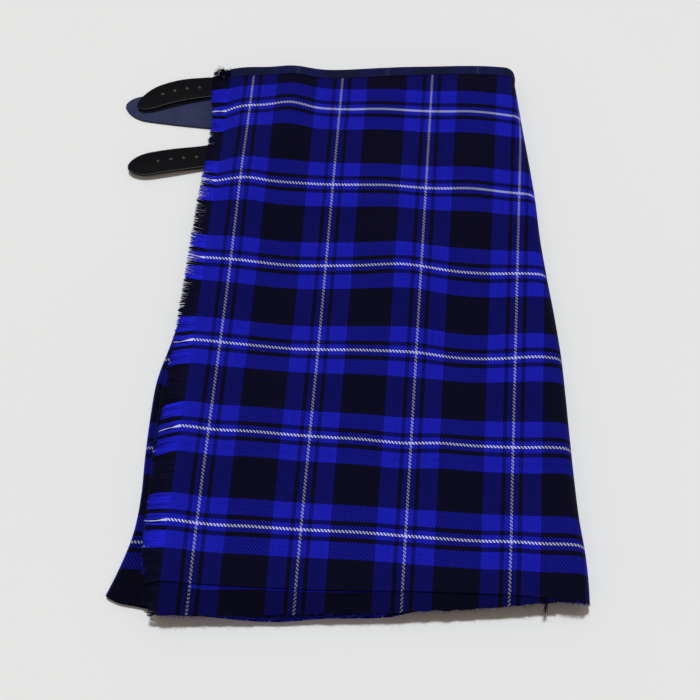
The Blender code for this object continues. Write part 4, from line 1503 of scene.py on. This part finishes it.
class KILT_OT_straps(bpy.types.Operator):
    """Cuts the two leather straps with their holes and the suede strap beneath"""

    bl_idname = "kilt.straps"
    bl_label = "Straps"

    def execute(self, context):
        black = leather("strap_leather")
        navy = suede("strap_suede")
        for strap in STRAPS:
            material, slot = (black, "black_leather") if strap.holes.count else (navy, "navy_suede")
            dress(build_strap(strap), material, strap.name, slot)
        return {"FINISHED"}


def build_strap(strap):
    """A strap with a rounded point, arched across, softened edges and punched holes."""
    tip_share = 1.0 - TIP_LENGTH / strap_length(strap)
    straight = STRAP_STOPS - STRAP_TIP_STOPS
    stops = [tip_share * i / straight for i in range(straight + 1)]
    for i in range(1, STRAP_TIP_STOPS + 1):
        stops.append(tip_share + (1.0 - tip_share) * math.sin(math.pi / 2.0 * i / STRAP_TIP_STOPS))
    rows = []
    for j in range(STRAP_LINES + 1):
        across = 1.0 - 2.0 * j / STRAP_LINES
        row = []
        for along in stops:
            x, y, z = strap_point(strap, along, across)
            row.append(Point(x, y, z, along * SETT, across * SETT))
        rows.append(row)
    piece = sheet(strap.name + "_" + ("leather" if strap.holes.count else "suede"), rows)
    add_wall(piece, strap.wall)
    for k in range(strap.holes.count):
        along = 1.0 - (strap.holes.first + HOLE_PITCH * k) / strap_length(strap)
        punch(piece, place(*strap_point(strap, along, 0.0)))
    bevel = piece.modifiers.new("Edge", "BEVEL")
    bevel.width = STRAP_BEVEL * MM
    bevel.segments = BEVEL_STEPS
    bevel.limit_method = "ANGLE"
    bevel.angle_limit = math.radians(BEVEL_FROM)
    apply_modifier(piece, bevel)
    smooth_faces(piece, STRAP_CREASE)
    return piece


def punch(piece, centre):
    """A round hole through the strap."""
    deselect()
    bpy.ops.mesh.primitive_cylinder_add(
        vertices=HOLE_SIDES, radius=HOLE_DIAMETER / 2.0 * MM, depth=PUNCH_DEPTH * MM, location=centre
    )
    cutter = bpy.context.object
    tartan_map(cutter.data, [(0.0, HOLE_MARK)] * len(cutter.data.vertices))
    modifier = piece.modifiers.new("Hole", "BOOLEAN")
    modifier.operation = "DIFFERENCE"
    modifier.solver = "EXACT"
    modifier.object = cutter
    apply_modifier(piece, modifier)
    bpy.data.objects.remove(cutter, do_unlink=True)


class KILT_OT_frays(bpy.types.Operator):
    """Adds the frayed threads along the raw hem, at its right corner and at the waist's left corner"""

    bl_idname = "kilt.frays"
    bl_label = "Frays"

    def execute(self, context):
        chance = random.Random(21)
        threads = hem_frays(chance) + hem_tuft(chance) + corner_frays(chance) + waist_tuft(chance)
        piece = thread_mesh("hem_frays", threads, sides=3)
        dress(piece, yarn("fray_yarn"), None, "fringe_threads")
        return {"FINISHED"}


Fray = namedtuple("Fray", "count radius steps black")
# How many loose threads, half their thickness, their steps, and the share of them that is black
HEM_FRAYS = Fray(count=420, radius=0.2, steps=3, black=0.8)
HEM_TUFT = Fray(count=14, radius=0.25, steps=5, black=1.0)
CORNER_FRAYS = Fray(count=110, radius=0.24, steps=4, black=0.8)
WAIST_TUFT = Fray(count=260, radius=0.24, steps=5, black=0.97)
# Hem: how many frays are short, both lengths, their lean, their droop and how far inside they begin
SHORT_SHARE = 0.85
SHORT_FRAY = (0.8, 2.6)
LONG_FRAY = (2.6, 4.6)
FRAY_LEAN = 0.4
FRAY_DROOP = 0.25
FRAY_INSIDE = 0.8
# Tuft: its place, half its width, length, lean, how far it hangs, how it curves and where it begins
TUFT_X = 322.0
TUFT_HALF = 1.6
TUFT_LENGTH = (5.0, 10.0)
TUFT_LEAN = (-2.2, 0.8)
TUFT_HANG = 7.0
TUFT_POWER = 1.3
TUFT_SUNK = 1.2
TUFT_INSIDE = 1.0
# Corner: columns of the apron's edge that fray, the length and lean of the ends, and where they begin
CORNER_COLUMNS = 16
CORNER_LENGTH = (1.2, 3.8)
CORNER_LEAN = 1.5
CORNER_INSIDE = 1.0
CORNER_LEFT = 0.4
CORNER_SUNK = 0.6
# Waist's corner: least, most and likeliest place across and up, then the spread of height, curl and step
TUFT_ACROSS = (-15.0, 6.0, -9.0)
TUFT_UP = (-9.0, 2.5, -4.0)
TUFT_HEIGHT = (-1.0, 1.8)
TUFT_CURL = (1.0, 3.2)
TUFT_STEP = (0.7, 1.4)
TUFT_RISE = (-0.3, 0.5)


def hem_frays(chance):
    """Short ends along the hem band's raw edge."""
    threads = []
    for k in range(HEM_FRAYS.count):
        x = blend(APRON_EDGE_X, HEM_BAND_TO_X, (k + chance.random()) / HEM_FRAYS.count)
        y = hem("band", x) + FRAY_INSIDE
        z = apron_top(x, y) - APRON_WALL - SEAM_GAP - LAYER_WALL / 2.0
        reach = chance.uniform(*(SHORT_FRAY if chance.random() < SHORT_SHARE else LONG_FRAY))
        lean = chance.uniform(-FRAY_LEAN, FRAY_LEAN)

        def at(share):
            return x + lean * share * reach, y - reach * share, z - FRAY_DROOP * reach * share**2

        row = BLACK_ROW if chance.random() < HEM_FRAYS.black else BLUE_ROW
        threads.append((strand(HEM_FRAYS.steps, at), HEM_FRAYS.radius, row))
    return threads


def hem_tuft(chance):
    """A loose bunch that hangs below the hem near the right."""
    threads = []
    for _ in range(HEM_TUFT.count):
        x = TUFT_X + chance.uniform(-TUFT_HALF, TUFT_HALF)
        y = hem("band", x) + TUFT_INSIDE
        z = apron_top(x, y) - APRON_WALL - TUFT_SUNK
        reach = chance.uniform(*TUFT_LENGTH)
        lean = chance.uniform(*TUFT_LEAN)

        def at(share):
            return x + lean * share**2, y - reach * share, z - TUFT_HANG * share**TUFT_POWER

        threads.append((strand(HEM_TUFT.steps, at), HEM_TUFT.radius, BLACK_ROW))
    return threads


def corner_frays(chance):
    """Broken ends at the hem's right corner, from the apron's own edge round the roll."""
    section = apron_section(0.0)
    edge = section[APRON_COLUMNS - CORNER_COLUMNS:APRON_COLUMNS + ROLL_STEPS * 2 // 3]
    threads = []
    for _ in range(CORNER_FRAYS.count):
        root = chance.choice(edge)
        reach = chance.uniform(*CORNER_LENGTH)
        lean = chance.uniform(-CORNER_LEAN, CORNER_LEAN)

        def at(share):
            y = root.y + CORNER_INSIDE - (reach + CORNER_INSIDE) * share
            return root.x - CORNER_LEFT + lean * share, y, root.z - CORNER_SUNK - share

        row = BLACK_ROW if chance.random() < CORNER_FRAYS.black else BLUE_ROW
        threads.append((strand(CORNER_FRAYS.steps, at), CORNER_FRAYS.radius, row))
    return threads


def waist_tuft(chance):
    """Curly ends at the waist's left corner."""
    threads = []
    for _ in range(WAIST_TUFT.count):
        x = APRON_EDGE_X + chance.triangular(*TUFT_ACROSS)
        y = waist_y(x) + chance.triangular(*TUFT_UP)
        z = apron_top(max(x, APRON_EDGE_X), y) + chance.uniform(*TUFT_HEIGHT)
        heading = chance.uniform(0.0, 2.0 * math.pi)
        curl = chance.uniform(*TUFT_CURL) * chance.choice((-1.0, 1.0))
        step = chance.uniform(*TUFT_STEP)
        points = []
        for _ in range(WAIST_TUFT.steps + 1):
            points.append((x, y, z))
            x += step * math.cos(heading)
            y += step * math.sin(heading)
            z += chance.uniform(*TUFT_RISE)
            heading += curl / 2.0
        row = BLACK_ROW if chance.random() < WAIST_TUFT.black else PALE_ROW
        threads.append((points, WAIST_TUFT.radius, row))
    return threads


TARGET = place(127.90, -288.90, 22.5)
SUN_FROM = (-0.04, 0.28, 1.0)
# Side of the square floor in metres, wide enough to fill low views
FLOOR_SIZE = 60.0
SENSOR_WIDTH = 36.0
SIGHT_ENDS = 100.0


class KILT_OT_stage(bpy.types.Operator):
    """Sets the pale floor, the soft light and the camera"""

    bl_idname = "kilt.stage"
    bl_label = "Floor, light and camera"

    def execute(self, context):
        settings = context.scene.kilt_stage
        build_floor(settings)
        build_light(context.scene, settings)
        build_camera(context.scene, settings)
        context.scene.view_settings.view_transform = "Standard"
        return {"FINISHED"}


def build_floor(settings):
    deselect()
    bpy.ops.mesh.primitive_plane_add(size=FLOOR_SIZE, location=(0.0, 0.0, 0.0))
    floor = bpy.context.object
    floor.name = "floor"
    material, tree, shader = new_material("pale_floor", roughness=0.9, specular=0.0)
    tone = vary(tree, noise_of(tree, object_place(tree), scale=3.0, detail=3.0), FLOOR_TONE)
    tree.links.new(scale_colour(tree, settings.floor[:3], tone), shader.inputs["Base Color"])
    floor.data.materials.append(material)


def build_light(scene, settings):
    world = bpy.data.worlds.new("studio")
    scene.world = world
    world.use_nodes = True
    background = world.node_tree.nodes["Background"]
    background.inputs["Color"].default_value = (*settings.sky_colour, 1.0)
    background.inputs["Strength"].default_value = settings.sky
    light = bpy.data.lights.new("key", "SUN")
    light.energy = settings.sun
    light.angle = settings.sun_size
    light.color = settings.sun_colour
    lamp = bpy.data.objects.new("key", light)
    lamp.rotation_euler = Vector(SUN_FROM).to_track_quat("Z", "Y").to_euler()
    scene.collection.objects.link(lamp)


def build_camera(scene, settings):
    azimuth = settings.azimuth
    elevation = settings.elevation
    back = Vector((
        math.sin(azimuth) * math.cos(elevation),
        -math.cos(azimuth) * math.cos(elevation),
        math.sin(elevation),
    ))
    level_right = (-back).cross(Vector((0.0, 0.0, 1.0))).normalized()
    level_up = level_right.cross(-back)
    right = level_right * math.cos(settings.roll) + level_up * math.sin(settings.roll)
    up = level_up * math.cos(settings.roll) - level_right * math.sin(settings.roll)
    camera = bpy.data.cameras.new("camera")
    camera.lens = settings.lens
    camera.sensor_width = SENSOR_WIDTH
    camera.clip_end = SIGHT_ENDS
    holder = bpy.data.objects.new("camera", camera)
    turn = Matrix((right, up, back)).transposed()
    holder.matrix_world = Matrix.Translation(TARGET + back * settings.distance) @ turn.to_4x4()
    scene.collection.objects.link(holder)
    scene.camera = holder


class KILT_PT_parts(bpy.types.Panel):
    """Lists the kilt's pieces and settings"""

    bl_label = "Kilt"
    bl_space_type = "VIEW_3D"
    bl_region_type = "UI"
    bl_category = "Kilt"

    def draw(self, context):
        layout = self.layout
        for operator in OPERATORS:
            layout.operator(operator.bl_idname)
        for name, group in GROUPS.items():
            box = layout.box()
            for field in group.__annotations__:
                box.prop(getattr(context.scene, name), field)


GROUPS = {
    "kilt_cloth": KiltCloth,
    "kilt_fringe": KiltFringe,
    "kilt_straps": KiltStraps,
    "kilt_stage": KiltStage,
}
OPERATORS = (
    KILT_OT_outer_apron,
    KILT_OT_hem_band,
    KILT_OT_layers,
    KILT_OT_pleated_back,
    KILT_OT_bindings,
    KILT_OT_straps,
    KILT_OT_frays,
    KILT_OT_stage,
)


def register():
    for group in GROUPS.values():
        bpy.utils.register_class(group)
    for name, group in GROUPS.items():
        setattr(bpy.types.Scene, name, PointerProperty(type=group))
    for operator in OPERATORS:
        bpy.utils.register_class(operator)
    bpy.utils.register_class(KILT_PT_parts)


def unregister():
    bpy.utils.unregister_class(KILT_PT_parts)
    for operator in reversed(OPERATORS):
        bpy.utils.unregister_class(operator)
    for name in GROUPS:
        delattr(bpy.types.Scene, name)
    for group in reversed(list(GROUPS.values())):
        bpy.utils.unregister_class(group)


def main():
    register()
    bpy.ops.kilt.outer_apron()
    bpy.ops.kilt.hem_band()
    bpy.ops.kilt.layers()
    bpy.ops.kilt.pleated_back()
    bpy.ops.kilt.bindings()
    bpy.ops.kilt.straps()
    bpy.ops.kilt.frays()
    bpy.ops.kilt.stage()


if __name__ == "__main__":
    main()
